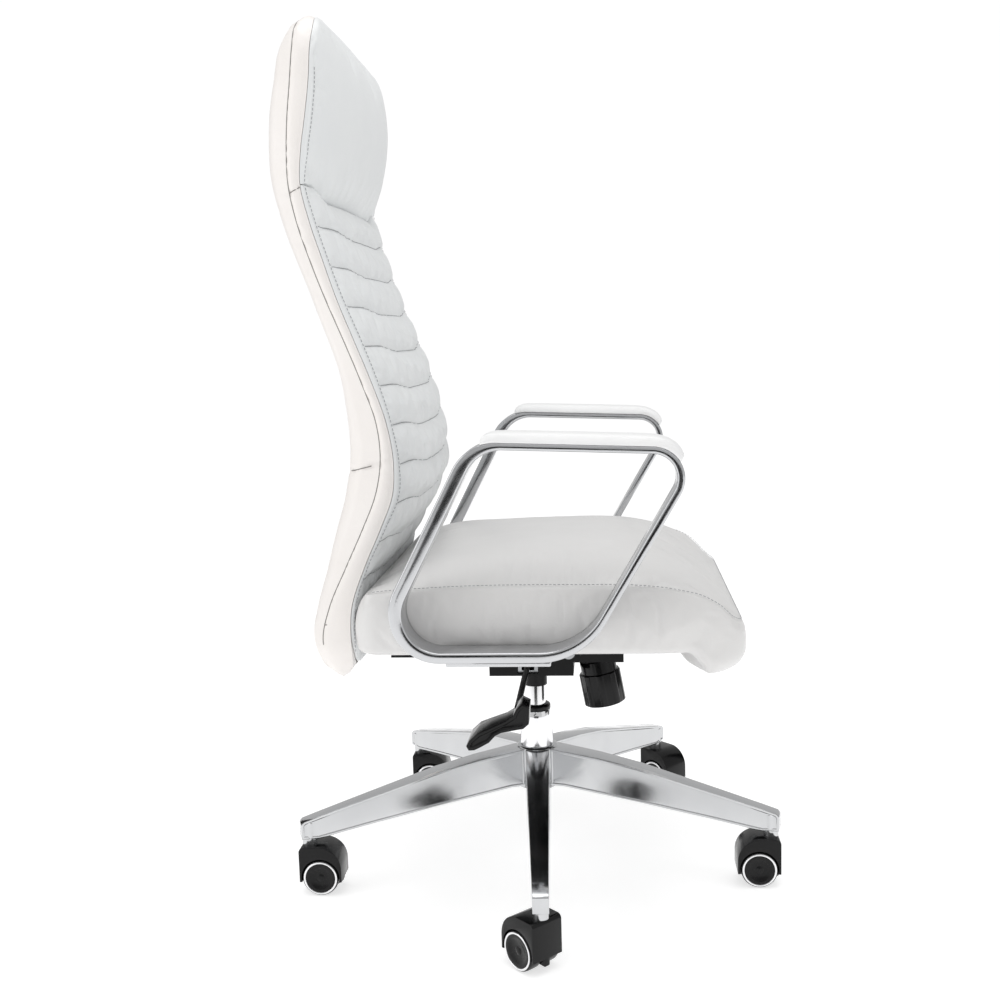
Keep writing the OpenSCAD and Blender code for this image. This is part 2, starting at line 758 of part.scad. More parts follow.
module caster_ring(i, s) {
    color("gainsboro") on_wheel_side(i, s) translate([0, 0, wheel_w - ring_depth]) difference() {
        cylinder(r = ring_r, h = ring_depth + ring_proud);
        translate([0, 0, -1]) cylinder(r = ring_r - ring_w, h = 5);
    }
}

// ---- Selection ----

star_base();
gas_column();
column_bush();
piston_rod();
thrust_bearing();
retaining_clip();
gas_cylinder();
mechanism_housing();
tilt_axle();
tension_spring();
tension_knob();
tension_bolt();
lock_slider();
lever_rod();
lever_handle();
valve_button();
seat_plate();
seat_pan();
seat_cushion();
bottom_cover();
back_bracket();
back_shell();
back_cover();
back_cushion();
headrest_cushion();
arm_loop(1);  // arm_loop_left
arm_loop(-1);  // arm_loop_right
arm_pad(1);  // arm_pad_left
arm_pad(-1);  // arm_pad_right
screws();
for (i = [1:5]) {
    caster_housing(i);
    caster_pins(i);
    caster_wheel(i, 1);
    caster_wheel(i, -1);
    caster_ring(i, 1);
    caster_ring(i, -1);
}
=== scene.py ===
"""Looks of a high-back leather swivel chair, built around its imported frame.

Metres throughout. +X is the front of the chair, +Y its left side, +Z up.
"""

import logging
import math
from dataclasses import dataclass
from enum import Enum
from typing import Callable, Optional, Sequence

import bmesh
import bpy
import numpy as np
from mathutils import Matrix, Vector
from mathutils.bvhtree import BVHTree


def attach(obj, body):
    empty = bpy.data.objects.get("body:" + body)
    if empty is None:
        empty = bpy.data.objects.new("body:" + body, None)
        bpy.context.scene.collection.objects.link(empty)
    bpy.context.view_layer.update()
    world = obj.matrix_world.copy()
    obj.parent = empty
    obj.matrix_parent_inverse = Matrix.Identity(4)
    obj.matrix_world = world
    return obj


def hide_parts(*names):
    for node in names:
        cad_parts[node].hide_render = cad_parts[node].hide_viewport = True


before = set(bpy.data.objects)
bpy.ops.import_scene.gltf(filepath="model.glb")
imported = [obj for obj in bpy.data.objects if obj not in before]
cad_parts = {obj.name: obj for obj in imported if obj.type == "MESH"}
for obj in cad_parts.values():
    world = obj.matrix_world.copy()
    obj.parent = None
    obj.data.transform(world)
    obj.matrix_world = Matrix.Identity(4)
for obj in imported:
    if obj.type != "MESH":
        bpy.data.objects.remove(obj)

MM = 0.001
GRAIN_MM = 2.0
LEGS = 5
LEG_TURN = 3.5
STEM_R = 333.0
CLOTH_FRAMES = 20
CLOTH_PRESSURE = 4
log = logging.getLogger("chair")

Object = bpy.types.Object
Tree = bpy.types.NodeTree
Socket = bpy.types.NodeSocket
Array = np.ndarray
Pair = tuple[float, float]
Triple = tuple[float, float, float]
VectorTest = Callable[[Vector, Vector], bool]


class Side(Enum):
    """The two sides of the chair, as the sitter has them."""

    LEFT = 1
    RIGHT = -1

    @property
    def word(self) -> str:
        """The side's name in piece names."""
        return self.name.lower()


# ---- Colours and nodes ----


def linear(code: str) -> tuple[float, float, float, float]:
    """Turns an sRGB hex colour into Blender's linear values.

    Args:
        code: Six hex digits with a leading #.

    Returns:
        Red, green, blue and alpha.
    """
    parts = [int(code[k : k + 2], 16) / 255 for k in (1, 3, 5)]
    r, g, b = (c / 12.92 if c <= 0.04045 else ((c + 0.055) / 1.055) ** 2.4 for c in parts)
    return r, g, b, 1.0


def add_node(
    tree: Tree,
    kind: str,
    settings: Optional[dict] = None,
    inputs: Optional[dict] = None,
) -> bpy.types.Node:
    """Adds a node and sets it up.

    Args:
        tree: Node tree that gets the node.
        kind: Node type name.
        settings: Node properties by name.
        inputs: Input values or the sockets that feed them, by name or number.

    Returns:
        The new node.
    """
    node = tree.nodes.new(kind)
    for name, value in (settings or {}).items():
        setattr(node, name, value)
    for name, value in (inputs or {}).items():
        if isinstance(value, Socket):
            tree.links.new(value, node.inputs[name])
        else:
            node.inputs[name].default_value = value
    return node


def noise(tree: Tree, at: Socket, size_mm: float, detail: float, **more: float) -> bpy.types.Node:
    """Adds a noise whose features are about a size apart."""
    inputs = {"Vector": at, "Scale": 1 / (size_mm * MM), "Detail": detail, **more}
    return add_node(tree, "ShaderNodeTexNoise", None, inputs)


def bump(
    tree: Tree,
    height: Socket,
    strength: float,
    depth_mm: float,
    under: Optional[Socket] = None,
    invert: bool = False,
) -> Socket:
    """Adds a bump and returns its normal.

    Args:
        tree: Node tree that gets the bump.
        height: The relief's height.
        strength: How strong it is.
        depth_mm: How deep it is.
        under: The normal of a relief that it lies on.
        invert: Whether high becomes low.

    Returns:
        The bumped normal's socket.
    """
    inputs = {"Strength": strength, "Distance": depth_mm * MM, "Height": height}
    if under:
        inputs["Normal"] = under
    return add_node(tree, "ShaderNodeBump", {"invert": invert}, inputs).outputs["Normal"]


# ---- Finishes ----


@dataclass(frozen=True)
class Finish:
    """What every finish has: two close shades, its reflection, and a fine relief."""

    name: str
    colour: str
    shade: str
    roughness: float
    roughness_swing: float
    patch_mm: float
    metallic: float = 0.0
    ior: float = 1.5
    coat: float = 0.0
    coat_roughness: float = 0.1
    sheen: float = 0.0
    specular: float = 0.5

    def relief(self, tree: Tree, place: Socket) -> Socket:
        """Makes the surface relief.

        Args:
            tree: The material's node tree.
            place: Object coordinates in metres.

        Returns:
            The socket that gives the bumped normal.
        """
        grain = noise(tree, place, GRAIN_MM, 3.0)
        return bump(tree, grain.outputs["Fac"], 0.3, 0.1)

    def material(self) -> bpy.types.Material:
        """Returns the finish's material, made once."""
        found = bpy.data.materials.get(self.name)
        if found:
            return found
        made = bpy.data.materials.new(self.name)
        made.use_nodes = True
        tree = made.node_tree
        tree.nodes.clear()
        place = add_node(tree, "ShaderNodeTexCoord").outputs["Object"]
        patches = noise(tree, place, self.patch_mm, 4.0)
        shades = add_node(
            tree,
            "ShaderNodeMix",
            {"data_type": "RGBA"},
            {0: patches.outputs["Fac"], 6: linear(self.colour), 7: linear(self.shade)},
        )
        rough = add_node(
            tree,
            "ShaderNodeMapRange",
            None,
            {
                "Value": patches.outputs["Fac"],
                "From Min": 0.3,
                "From Max": 0.7,
                "To Min": max(self.roughness - self.roughness_swing, 0.0),
                "To Max": self.roughness + self.roughness_swing,
            },
        )
        shader = add_node(
            tree,
            "ShaderNodeBsdfPrincipled",
            None,
            {
                "Base Color": shades.outputs[2],
                "Roughness": rough.outputs["Result"],
                "Metallic": self.metallic,
                "IOR": self.ior,
                "Coat Weight": self.coat,
                "Coat Roughness": self.coat_roughness,
                "Sheen Weight": self.sheen,
                "Specular IOR Level": self.specular,
                "Normal": self.relief(tree, place),
            },
        )
        add_node(tree, "ShaderNodeOutputMaterial", None, {"Surface": shader.outputs["BSDF"]})
        return made


@dataclass(frozen=True)
class Leather(Finish):
    """Pigmented, embossed cow leather: a pebble grain with soft creases between the stitched seams."""

    pebble_mm: float = 2.6
    pebble_depth_mm: float = 0.14
    crease_mm: float = 22.0
    crease_depth_mm: float = 0.9

    def relief(self, tree: Tree, place: Socket) -> Socket:
        """Real pebbles are about 1 mm and wouldn't show, so they are drawn coarser. Returns the bumped normal."""
        creases = noise(tree, place, self.crease_mm, 3.0, Distortion=0.6)
        soft = bump(tree, creases.outputs["Fac"], 0.35, self.crease_depth_mm)
        pebbles = add_node(
            tree,
            "ShaderNodeTexVoronoi",
            {"feature": "SMOOTH_F1"},
            {"Vector": place, "Scale": 1 / (self.pebble_mm * MM), "Smoothness": 0.6},
        )
        return bump(tree, pebbles.outputs["Distance"], 0.5, self.pebble_depth_mm, soft, invert=True)


@dataclass(frozen=True)
class CastMetal(Finish):
    """Cast aluminium, ground and buffed: mirror-like, with long soft waves and fine buffing lines."""

    wave_mm: float = 45.0
    wave_depth_mm: float = 0.5
    line_mm: float = 1.6

    def relief(self, tree: Tree, place: Socket) -> Socket:
        """The waves bend reflections as hand buffing does, and the lines blur them. Returns the bumped normal."""
        waves = noise(tree, place, self.wave_mm, 1.0)
        slow = bump(tree, waves.outputs["Fac"], 0.5, self.wave_depth_mm)
        stretched = add_node(tree, "ShaderNodeMapping", None, {"Vector": place, "Scale": (0.1, 1.0, 1.0)})
        lines = noise(tree, stretched.outputs["Vector"], self.line_mm, 2.0)
        return bump(tree, lines.outputs["Fac"], 0.12, 0.05, slow)


@dataclass(frozen=True)
class Moulded(Finish):
    """Injection-moulded plastic or powder coat: a fine spark-eroded or orange-peel texture."""

    texture_mm: float = 1.4
    texture_depth_mm: float = 0.05

    def relief(self, tree: Tree, place: Socket) -> Socket:
        """A fine texture that breaks the gloss up. Returns the bumped normal."""
        texture = noise(tree, place, self.texture_mm, 2.0)
        return bump(tree, texture.outputs["Fac"], 0.4, self.texture_depth_mm)


@dataclass(frozen=True)
class Plywood(Finish):
    """Beech plywood: growth rings stretched along the sheet."""

    ring_mm: float = 9.0

    def relief(self, tree: Tree, place: Socket) -> Socket:
        """Rings as low ridges. Returns the bumped normal."""
        stretched = add_node(tree, "ShaderNodeMapping", None, {"Vector": place, "Scale": (0.15, 1.0, 1.0)})
        rings = add_node(
            tree,
            "ShaderNodeTexWave",
            {"bands_direction": "Y"},
            {"Vector": stretched.outputs["Vector"], "Scale": 0.3 / (self.ring_mm * MM), "Distortion": 3.0},
        )
        return bump(tree, rings.outputs["Fac"], 0.3, 0.2)


# White leather of the back's rear and gussets: warm, and lightly glossy from its clear finish coat.
REAR_LEATHER = Leather(
    "white_leather_rear", "#F5F1EE", "#EEE9E5", 0.42, 0.05, 60, coat=0.12, coat_roughness=0.3, sheen=0.05
)
# White leather of the front panels: cooler and more matt.
FRONT_LEATHER = Leather(
    "white_leather_front", "#E9EBEB", "#E2E4E5", 0.46, 0.05, 60, coat=0.1, coat_roughness=0.32, sheen=0.05
)
# Seat leather: the same hide, pulled tight, so it shines more.
SEAT_LEATHER = Leather(
    "white_leather_seat", "#E3E2E1", "#DBDAD9", 0.36, 0.05, 80, coat=0.2, coat_roughness=0.25, sheen=0.05
)
# Pad leather: bright white, smooth.
PAD_LEATHER = Leather(
    "white_leather_pads", "#F6F6F6", "#F0F0F0", 0.4, 0.04, 40, coat=0.12, coat_roughness=0.3, pebble_mm=2.0
)
# Polyester sewing thread: matt grey, which gives the dotted line along the seams.
THREAD = Moulded("polyester_thread", "#A3A5A7", "#96989A", 0.75, 0.05, 10, texture_mm=0.6)
# Dark strip laid in the closed seams between leather panels: painted shade for the shadow in each seam's gap, coloured
# like dim thread.
SEAM_SHADE_STRIP = Moulded("seam_painted_shade", "#8B8884", "#7D7A77", 0.8, 0.05, 10, texture_mm=0.6)
# Cast and buffed aluminium of the arms and base: bright, with dark streaks where it mirrors black parts.
ALUMINIUM = CastMetal("cast_polished_aluminium", "#CDCED0", "#C2C3C5", 0.13, 0.05, 70, metallic=1.0)
# Buffed base casting: a little duller than the arms.
BASE_ALUMINIUM = CastMetal("cast_buffed_aluminium_base", "#D0D1D2", "#C4C5C7", 0.16, 0.06, 55, metallic=1.0)
# Chrome plate: a true mirror with hard dark and bright streaks.
CHROME = CastMetal("chrome_plate", "#CBCED1", "#C2C5C9", 0.05, 0.02, 60, metallic=1.0, wave_depth_mm=0.15)
# Zinc-plated steel of pins, bolts and spring: greyish and slightly dull.
ZINC = CastMetal("zinc_plated_steel", "#B4B6B8", "#A6A8AA", 0.3, 0.06, 20, metallic=1.0)
# Black powder coat on the steel plates and mechanism: satin orange peel.
POWDER_COAT = Moulded(
    "black_powder_coat", "#080809", "#0C0C0D", 0.42, 0.06, 30, specular=0.25, texture_mm=2.2, texture_depth_mm=0.08
)
# Glossy moulded nylon of the hoods and the knob.
NYLON = Moulded("black_moulded_nylon", "#050506", "#080809", 0.2, 0.05, 25, specular=0.28)
# Wheel nylon: the same, with a satin tread.
WHEEL_NYLON = Moulded("black_wheel_nylon", "#060607", "#0B0B0C", 0.28, 0.07, 18, specular=0.28)
# Polypropylene of the seat's under cover: matt, fine texture.
UNDER_COVER = Moulded("black_polypropylene", "#080809", "#0D0D0E", 0.4, 0.06, 40, specular=0.25, texture_mm=1.8)
# Brass valve button.
BRASS = CastMetal("turned_brass", "#B9975A", "#A8874E", 0.25, 0.05, 15, metallic=1.0)
# Beech plywood of the pan and shell.
BEECH = Plywood("beech_plywood", "#C9A272", "#B98F5F", 0.55, 0.06, 35)


# ---- Modelling helpers ----


def deselect() -> None:
    """Goes to object mode and deselects everything."""
    if bpy.context.object and bpy.context.object.mode != "OBJECT":
        bpy.ops.object.mode_set(mode="OBJECT")
    bpy.ops.object.select_all(action="DESELECT")


def activate(piece: Object) -> None:
    """Makes a piece the only selected one, and the active one."""
    deselect()
    piece.select_set(True)
    bpy.context.view_layer.objects.active = piece


def take(name: str) -> Object:
    """Names the active object and its mesh, and returns it."""
    piece = bpy.context.object
    piece.name = name
    piece.data.name = name
    return piece


def edit(piece: Object, mode: str = "VERT") -> None:
    """Opens a piece in edit mode with nothing selected.

    Args:
        piece: The mesh object.
        mode: VERT, EDGE or FACE.
    """
    activate(piece)
    bpy.ops.object.mode_set(mode="EDIT")
    bpy.ops.mesh.select_mode(type=mode)
    bpy.ops.mesh.select_all(action="DESELECT")


def close_edit() -> None:
    """Goes back to object mode."""
    bpy.ops.object.mode_set(mode="OBJECT")


def pick_faces(piece: Object, test: VectorTest) -> None:
    """Selects the faces that a test of centre and normal accepts."""
    mesh = bmesh.from_edit_mesh(piece.data)
    for face in [f for f in mesh.faces if test(f.calc_center_median(), f.normal)]:
        face.select_set(True)
    bmesh.update_edit_mesh(piece.data)


def pick_edges(piece: Object, test: VectorTest) -> None:
    """Selects the edges whose two ends a test accepts."""
    mesh = bmesh.from_edit_mesh(piece.data)
    for edge in [e for e in mesh.edges if test(e.verts[0].co, e.verts[1].co)]:
        edge.select_set(True)
    bmesh.update_edit_mesh(piece.data)


def points_of(piece: Object) -> Array:
    """The piece's vertex places as an array of rows."""
    flat = np.empty(len(piece.data.vertices) * 3)
    piece.data.vertices.foreach_get("co", flat)
    return flat.reshape(-1, 3)


def put_points(piece: Object, places: Array) -> None:
    """Moves the piece's vertices to new places."""
    piece.data.vertices.foreach_set("co", places.reshape(-1))
    piece.data.update()


def modify(piece: Object, kind: str, **settings: object) -> None:
    """Adds a modifier with its settings and applies it."""
    activate(piece)
    made = piece.modifiers.new(kind.title(), kind)
    for name, value in settings.items():
        setattr(made, name, value)
    bpy.ops.object.modifier_apply(modifier=made.name)


def round_edges(piece: Object, width_mm: float, segments: int = 2, angle: float = 32) -> None:
    """Bevels every edge sharper than an angle."""
    modify(
        piece,
        "BEVEL",
        width=width_mm * MM,
        segments=segments,
        limit_method="ANGLE",
        angle_limit=math.radians(angle),
        use_clamp_overlap=True,
    )


def smooth(piece: Object, angle: float = 35) -> None:
    """Shades a piece smooth, apart from edges sharper than an angle."""
    activate(piece)
    bpy.ops.object.shade_smooth_by_angle(angle=math.radians(angle))


def settle(piece: Object) -> None:
    """Puts the object at the origin, unturned and unscaled, with its place in its mesh."""
    activate(piece)
    bpy.ops.object.transform_apply(location=True, rotation=True, scale=True)


def outward(piece: Object, merge_mm: float = 0.02) -> None:
    """Merges doubles and turns the normals outwards."""
    edit(piece)
    bpy.ops.mesh.select_all(action="SELECT")
    bpy.ops.mesh.remove_doubles(threshold=merge_mm * MM)
    bpy.ops.mesh.normals_make_consistent(inside=False)
    close_edit()


def join(name: str, pieces: Sequence[Object]) -> Object:
    """Joins pieces into one and returns it."""
    deselect()
    for piece in pieces:
        piece.select_set(True)
    bpy.context.view_layer.objects.active = pieces[0]
    bpy.ops.object.join()
    return take(name)


def twin(piece: Object, name: str, change: Matrix) -> Object:
    """Copies a piece with its own mesh and moves the copy.

    Args:
        piece: The piece to copy.
        name: The copy's name.
        change: Where the copy's mesh goes from the first one's place.

    Returns:
        The copy.
    """
    copy = piece.copy()
    copy.data = piece.data.copy()
    copy.name = name
    copy.data.name = name
    bpy.context.scene.collection.objects.link(copy)
    copy.data.transform(change)
    if change.determinant() < 0:
        copy.data.flip_normals()
    return copy


def trace(name: str, outline: Sequence[Pair], level: float, closed: bool = True) -> Object:
    """Draws an outline in the side view as a chain of extruded vertices.

    Args:
        name: The piece's name.
        outline: X and Z of the points in millimetres.
        level: Their Y in millimetres.
        closed: Whether the last point joins the first.

    Returns:
        The piece, made of edges only.
    """
    places = [Vector((x, level, z)) * MM for x, z in outline]
    deselect()
    bpy.ops.mesh.primitive_plane_add(size=1 * MM, location=places[0])
    piece = take(name)
    bpy.ops.object.transform_apply(location=True)
    bpy.ops.object.mode_set(mode="EDIT")
    bpy.ops.mesh.select_mode(type="VERT")
    bpy.ops.mesh.select_all(action="SELECT")
    bpy.ops.mesh.merge(type="CENTER")
    for here, there in zip(places, places[1:]):
        bpy.ops.mesh.extrude_vertices_move(TRANSFORM_OT_translate={"value": there - here})
    if closed:
        bpy.ops.mesh.select_all(action="DESELECT")
        mesh = bmesh.from_edit_mesh(piece.data)
        ends = [v for v in mesh.verts if len(v.link_edges) == 1]
        for vertex in ends:
            vertex.select_set(True)
        bmesh.update_edit_mesh(piece.data)
        bpy.ops.mesh.edge_face_add()
    close_edit()
    return piece


def slab(name: str, outline: Sequence[Pair], low: float, high: float) -> Object:
    """A side view pulled across into a solid between two levels, in millimetres."""
    piece = trace(name, outline, low)
    edit(piece)
    bpy.ops.mesh.select_all(action="SELECT")
    bpy.ops.mesh.edge_face_add()
    bpy.ops.mesh.extrude_region_move(TRANSFORM_OT_translate={"value": (0, (high - low) * MM, 0)})
    close_edit()
    outward(piece)
    return piece


def turned(name: str, profile: Sequence[Pair], steps: int = 72) -> Object:
    """Turns a profile of radius and height, in millimetres, about the Z axis into a closed solid."""
    piece = trace(name, profile, 0.0, closed=False)
    edit(piece)
    bpy.ops.mesh.select_all(action="SELECT")
    bpy.ops.mesh.spin(steps=steps, angle=2 * math.pi, center=(0, 0, 0), axis=(0, 0, 1))
    close_edit()
    outward(piece)
    return piece


def arc_corner(before: Pair, corner: Pair, after: Pair, radius: float, steps: int) -> list[Pair]:
    """The points of the arc that rounds a corner between its two neighbours."""
    p, a, b = (Vector(v) for v in (corner, before, after))
    u, v = (a - p).normalized(), (b - p).normalized()
    half = math.acos(max(-1.0, min(1.0, u.dot(v)))) / 2
    centre = p + (u + v).normalized() * radius / math.sin(half)
    start = p + u * radius / math.tan(half) - centre
    end = p + v * radius / math.tan(half) - centre
    first = math.atan2(start.y, start.x)
    turn = (math.atan2(end.y, end.x) - first + 3 * math.pi) % (2 * math.pi) - math.pi
    angles = [first + turn * k / steps for k in range(steps + 1)]
    return [(centre.x + radius * math.cos(t), centre.y + radius * math.sin(t)) for t in angles]


def rounded(corners: Sequence[Pair], radii: Sequence[float], steps: int = 10) -> list[Pair]:
    """A closed outline with a radius at each corner."""
    count = len(corners)
    points: list[Pair] = []
    for k in range(count):
        points += arc_corner(corners[k - 1], corners[k], corners[(k + 1) % count], radii[k], steps)
    return points


def moved_edges(corners: Sequence[Pair], distances: Sequence[float]) -> list[Pair]:
    """The corners of an outline after each edge before a corner moves out by its own distance."""
    count = len(corners)
    moved = []
    for k in range(count):
        p, h, j = (Vector(corners[i % count]) for i in (k, k - 1, k + 1))
        u, v = (p - h).normalized(), (j - p).normalized()
        m, n = Vector((u.y, -u.x)), Vector((v.y, -v.x))
        s, t = m.dot(p) + distances[k - 1], n.dot(p) + distances[k]
        det = m.x * n.y - m.y * n.x
        moved.append(((s * n.y - t * m.y) / det, (m.x * t - n.x * s) / det))
    return moved


def ease(x: Array, low: float, high: float) -> Array:
    """A smooth step from 0 at low to 1 at high."""
    t = np.clip((x - low) / (high - low), 0, 1)
    return t * t * (3 - 2 * t)


def through(table: Sequence[Pair], at: Array) -> Array:
    """A smooth curve through a table of rising arguments and their values."""
    x = np.array([row[0] for row in table], float)
    y = np.array([row[1] for row in table], float)
    slope = np.gradient(y, x)
    at = np.clip(at, x[0], x[-1])
    k = np.clip(np.searchsorted(x, at) - 1, 0, len(x) - 2)
    span = x[k + 1] - x[k]
    t = (at - x[k]) / span
    return (
        (2 * t**3 - 3 * t**2 + 1) * y[k]
        + (t**3 - 2 * t**2 + t) * span * slope[k]
        + (3 * t**2 - 2 * t**3) * y[k + 1]
        + (t**3 - t**2) * span * slope[k + 1]
    )


def ripple(x: Array, y: Array, pitch: float) -> Array:
    """A calm, repeatable unevenness from -1 to 1 made of three crossed waves."""
    k = 2 * math.pi / pitch
    return (
        np.sin(k * (x + 0.37 * y) + 1.3) + np.sin(k * (0.61 * y - 0.83 * x) + 4.1) + np.sin(k * 1.7 * (y + 0.21 * x))
    ) / 3


def on_outline(a: Array, b: Array, half_a: float, half_b: float, r: Array | float) -> tuple[Array, ...]:
    """Maps a square's rings onto the outline of a rounded rectangle.

    Args:
        a: Places across the square, from -1 to 1.
        b: Places along the square.
        half_a: Half of the rectangle's width.
        half_b: Half of its length.
        r: Its corner radius.

    Returns:
        The ring from 0 to 1, the place across and along on the outline, and the outward direction there.
    """
    ring = np.maximum(np.maximum(np.abs(a), np.abs(b)), 1e-9)
    u, v = a / ring, b / ring
    on_side = np.abs(u) >= np.abs(v)
    along = np.where(on_side, v, u)
    half = np.where(on_side, half_b, half_a)
    other = np.where(on_side, half_a, half_b)
    run = np.abs(along) * (half - r + r * math.pi / 4)
    turn = np.clip((run - (half - r)) / r, 0, math.pi / 4)
    far = (np.minimum(run, half - r) + r * np.sin(turn)) * np.sign(along)
    which = np.where(on_side, np.sign(u), np.sign(v))
    across = (other - r + r * np.cos(turn)) * which
    skew, straight = np.sin(turn) * np.sign(along), np.cos(turn) * which
    places = np.where(on_side, across, far), np.where(on_side, far, across)
    return ring, *places, np.where(on_side, straight, skew), np.where(on_side, skew, straight)


def quarter_round(distance: Array, radius: Array | float) -> Array:
    """How far a rounded edge has fallen away: 1 on the edge, 0 a radius in from it."""
    return 1 - np.sqrt(1 - (1 - np.clip(distance / radius, 0, 1)) ** 2)


def valley(distance: Array, width: float) -> Array:
    """A seam's cross-section: 1 on the seam, falling to 0 over a width."""
    return np.exp(-((distance / width) ** 2))


def finish_piece(
    piece: Object,
    finish: Finish,
    body: str,
    nodes: Sequence[str] = (),
) -> None:
    """Gives a piece its finish and hangs it on the frame.

    Args:
        piece: The finished mesh object.
        finish: The finish that it gets.
        body: CAD body that it rides on.
        nodes: CAD nodes that it stands for.
    """
    settle(piece)
    piece.data.materials.clear()
    piece.data.materials.append(finish.material())
    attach(piece, body)
    if nodes:
        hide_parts(*nodes)
    log.info("%s: %d faces, %s", piece.name, len(piece.data.polygons), finish.name)


# ---- Upholstery ----


def block_of_quads(name: str, columns: int, rows: int, layers: int) -> Object:
    """A closed block from -1 to 1 across and along, and from 0 to 1 high, to be shaped into a cushion.

    Args:
        name: The piece's name.
        columns: Faces across, along X.
        rows: Faces along, along Y.
        layers: Faces up each side.

    Returns:
        The block.
    """
    deselect()
    bpy.ops.mesh.primitive_grid_add(x_subdivisions=columns, y_subdivisions=rows, size=2)
    piece = take(name)
    edit(piece)
    bpy.ops.mesh.select_all(action="SELECT")
    bpy.ops.mesh.extrude_region_move(TRANSFORM_OT_translate={"value": (0, 0, 1)})
    bpy.ops.mesh.select_mode(type="EDGE")
    bpy.ops.mesh.select_all(action="DESELECT")
    pick_edges(piece, lambda a, b: abs(a.z - b.z) > 0.5)
    bpy.ops.mesh.subdivide(number_cuts=layers - 1)
    close_edit()
    return piece


def inflate(piece: Object, held: Array, cap_mm: float, slack: float = 0.0) -> None:
    """Blows the leather up with a cloth simulation that holds the seams and the hidden sides.

    Args:
        piece: The closed cushion.
        held: For each vertex, 1 where it is sewn or glued down and 0 where it is free.
        cap_mm: The furthest that a point may move.
        slack: How much longer than its pattern the leather is, which makes creases.
    """
    start = points_of(piece)
    group = piece.vertex_groups.new(name="held")
    for level in (0.25, 0.5, 0.75, 1.0):
        chosen = np.nonzero(np.abs(held - level) <= 0.125)[0].tolist()
        group.add(chosen, level, "REPLACE")
    activate(piece)
    cloth = piece.modifiers.new("Cloth", "CLOTH")
    rules = cloth.settings
    rules.quality = 4
    rules.use_pressure = True
    rules.uniform_pressure_force = CLOTH_PRESSURE
    rules.effector_weights.gravity = 0
    rules.vertex_group_mass = "held"
    rules.shrink_min = -slack
    cloth.collision_settings.use_collision = False
    scene = bpy.context.scene
    for moment in range(1, CLOTH_FRAMES + 1):
        scene.frame_set(moment)
    bpy.ops.object.modifier_apply(modifier=cloth.name)
    step = points_of(piece) - start
    length = np.linalg.norm(step, axis=1, keepdims=True)
    share = cap_mm * MM * np.tanh(length / (cap_mm * MM)) / np.maximum(length, 1e-9)
    put_points(piece, start + step * share)
    piece.vertex_groups.clear()
    scene.frame_set(1)


@dataclass
class Stitching:
    """A run of saddle stitches: one short bead of thread, copied along a seam."""

    pitch_mm: float = 5.2
    thread_mm: float = 0.9
    length_mm: float = 3.4

    def one(self) -> Object:
        """Models one stitch lying along X, with its ends drawn in."""
        deselect()
        bpy.ops.mesh.primitive_cylinder_add(
            vertices=6, radius=self.thread_mm / 2 * MM, depth=self.length_mm * 0.7 * MM, rotation=(0, math.pi / 2, 0)
        )
        stitch = take("stitch")
        settle(stitch)
        edit(stitch, "FACE")
        pick_faces(stitch, lambda c, n: abs(n.x) > 0.9)
        bpy.ops.mesh.inset(thickness=self.thread_mm * 0.2 * MM, depth=self.length_mm * 0.15 * MM, use_individual=True)
        close_edit()
        return stitch

    def run(self, name: str, line: Array, out: Array) -> Object:
        """Copies the stitch along a line.

        Args:
            name: The piece's name.
            line: Points of the seam in metres.
            out: The surface's outward direction at each point.

        Returns:
            All the stitches as one piece.
        """
        along = np.concatenate([[0], np.cumsum(np.linalg.norm(np.diff(line, axis=0), axis=1))])
        count = int(along[-1] / (self.pitch_mm * MM))
        first = self.one()
        stitches = []
        for k in range(count):
            at = (k + 0.5) * self.pitch_mm * MM
            here, ahead, up = (
                Vector([float(np.interp(s, along, part[:, i])) for i in range(3)])
                for s, part in ((at, line), (at + 0.5 * MM, line), (at, out))
            )
            x = (ahead - here).normalized()
            y = up.cross(x).normalized()
            z = x.cross(y)
            turn = Matrix((x, y, z)).transposed().to_4x4()
            stitches.append(twin(first, f"{name}_{k}", Matrix.Translation(here) @ turn))
        bpy.data.objects.remove(first)
        made = join(name, stitches)
        smooth(made, 60)
        return made


def cord(name: str, line: Array, out: Array, width_mm: float = 1.1, height_mm: float = 0.5) -> Object:
    """Lays a flat run along a seam, darker than the leather round it, which paints the shade of the seam's line.

    Args:
        name: The piece's name.
        line: Points of the seam in metres.
        out: The surface's outward direction at each point.
        width_mm: Width of the run.
        height_mm: How far it stands out.

    Returns:
        The run, closed all round.
    """
    piece = block_of_quads(name, 2, len(line) - 1, 2)
    a, b, c = points_of(piece).T
    at = np.clip(np.rint((b + 1) / 2 * (len(line) - 1)).astype(int), 0, len(line) - 1)
    along = np.gradient(line, axis=0)
    aside = np.cross(along, out)
    aside /= np.maximum(np.linalg.norm(aside, axis=1, keepdims=True), 1e-9)
    dome = height_mm * (c - 0.5) * (1 - 0.4 * a * a)
    put_points(piece, line[at] + (aside[at] * (a * width_mm / 2)[:, None] + out[at] * dome[:, None]) * MM)
    outward(piece, 0.001)
    smooth(piece, 60)
    return piece


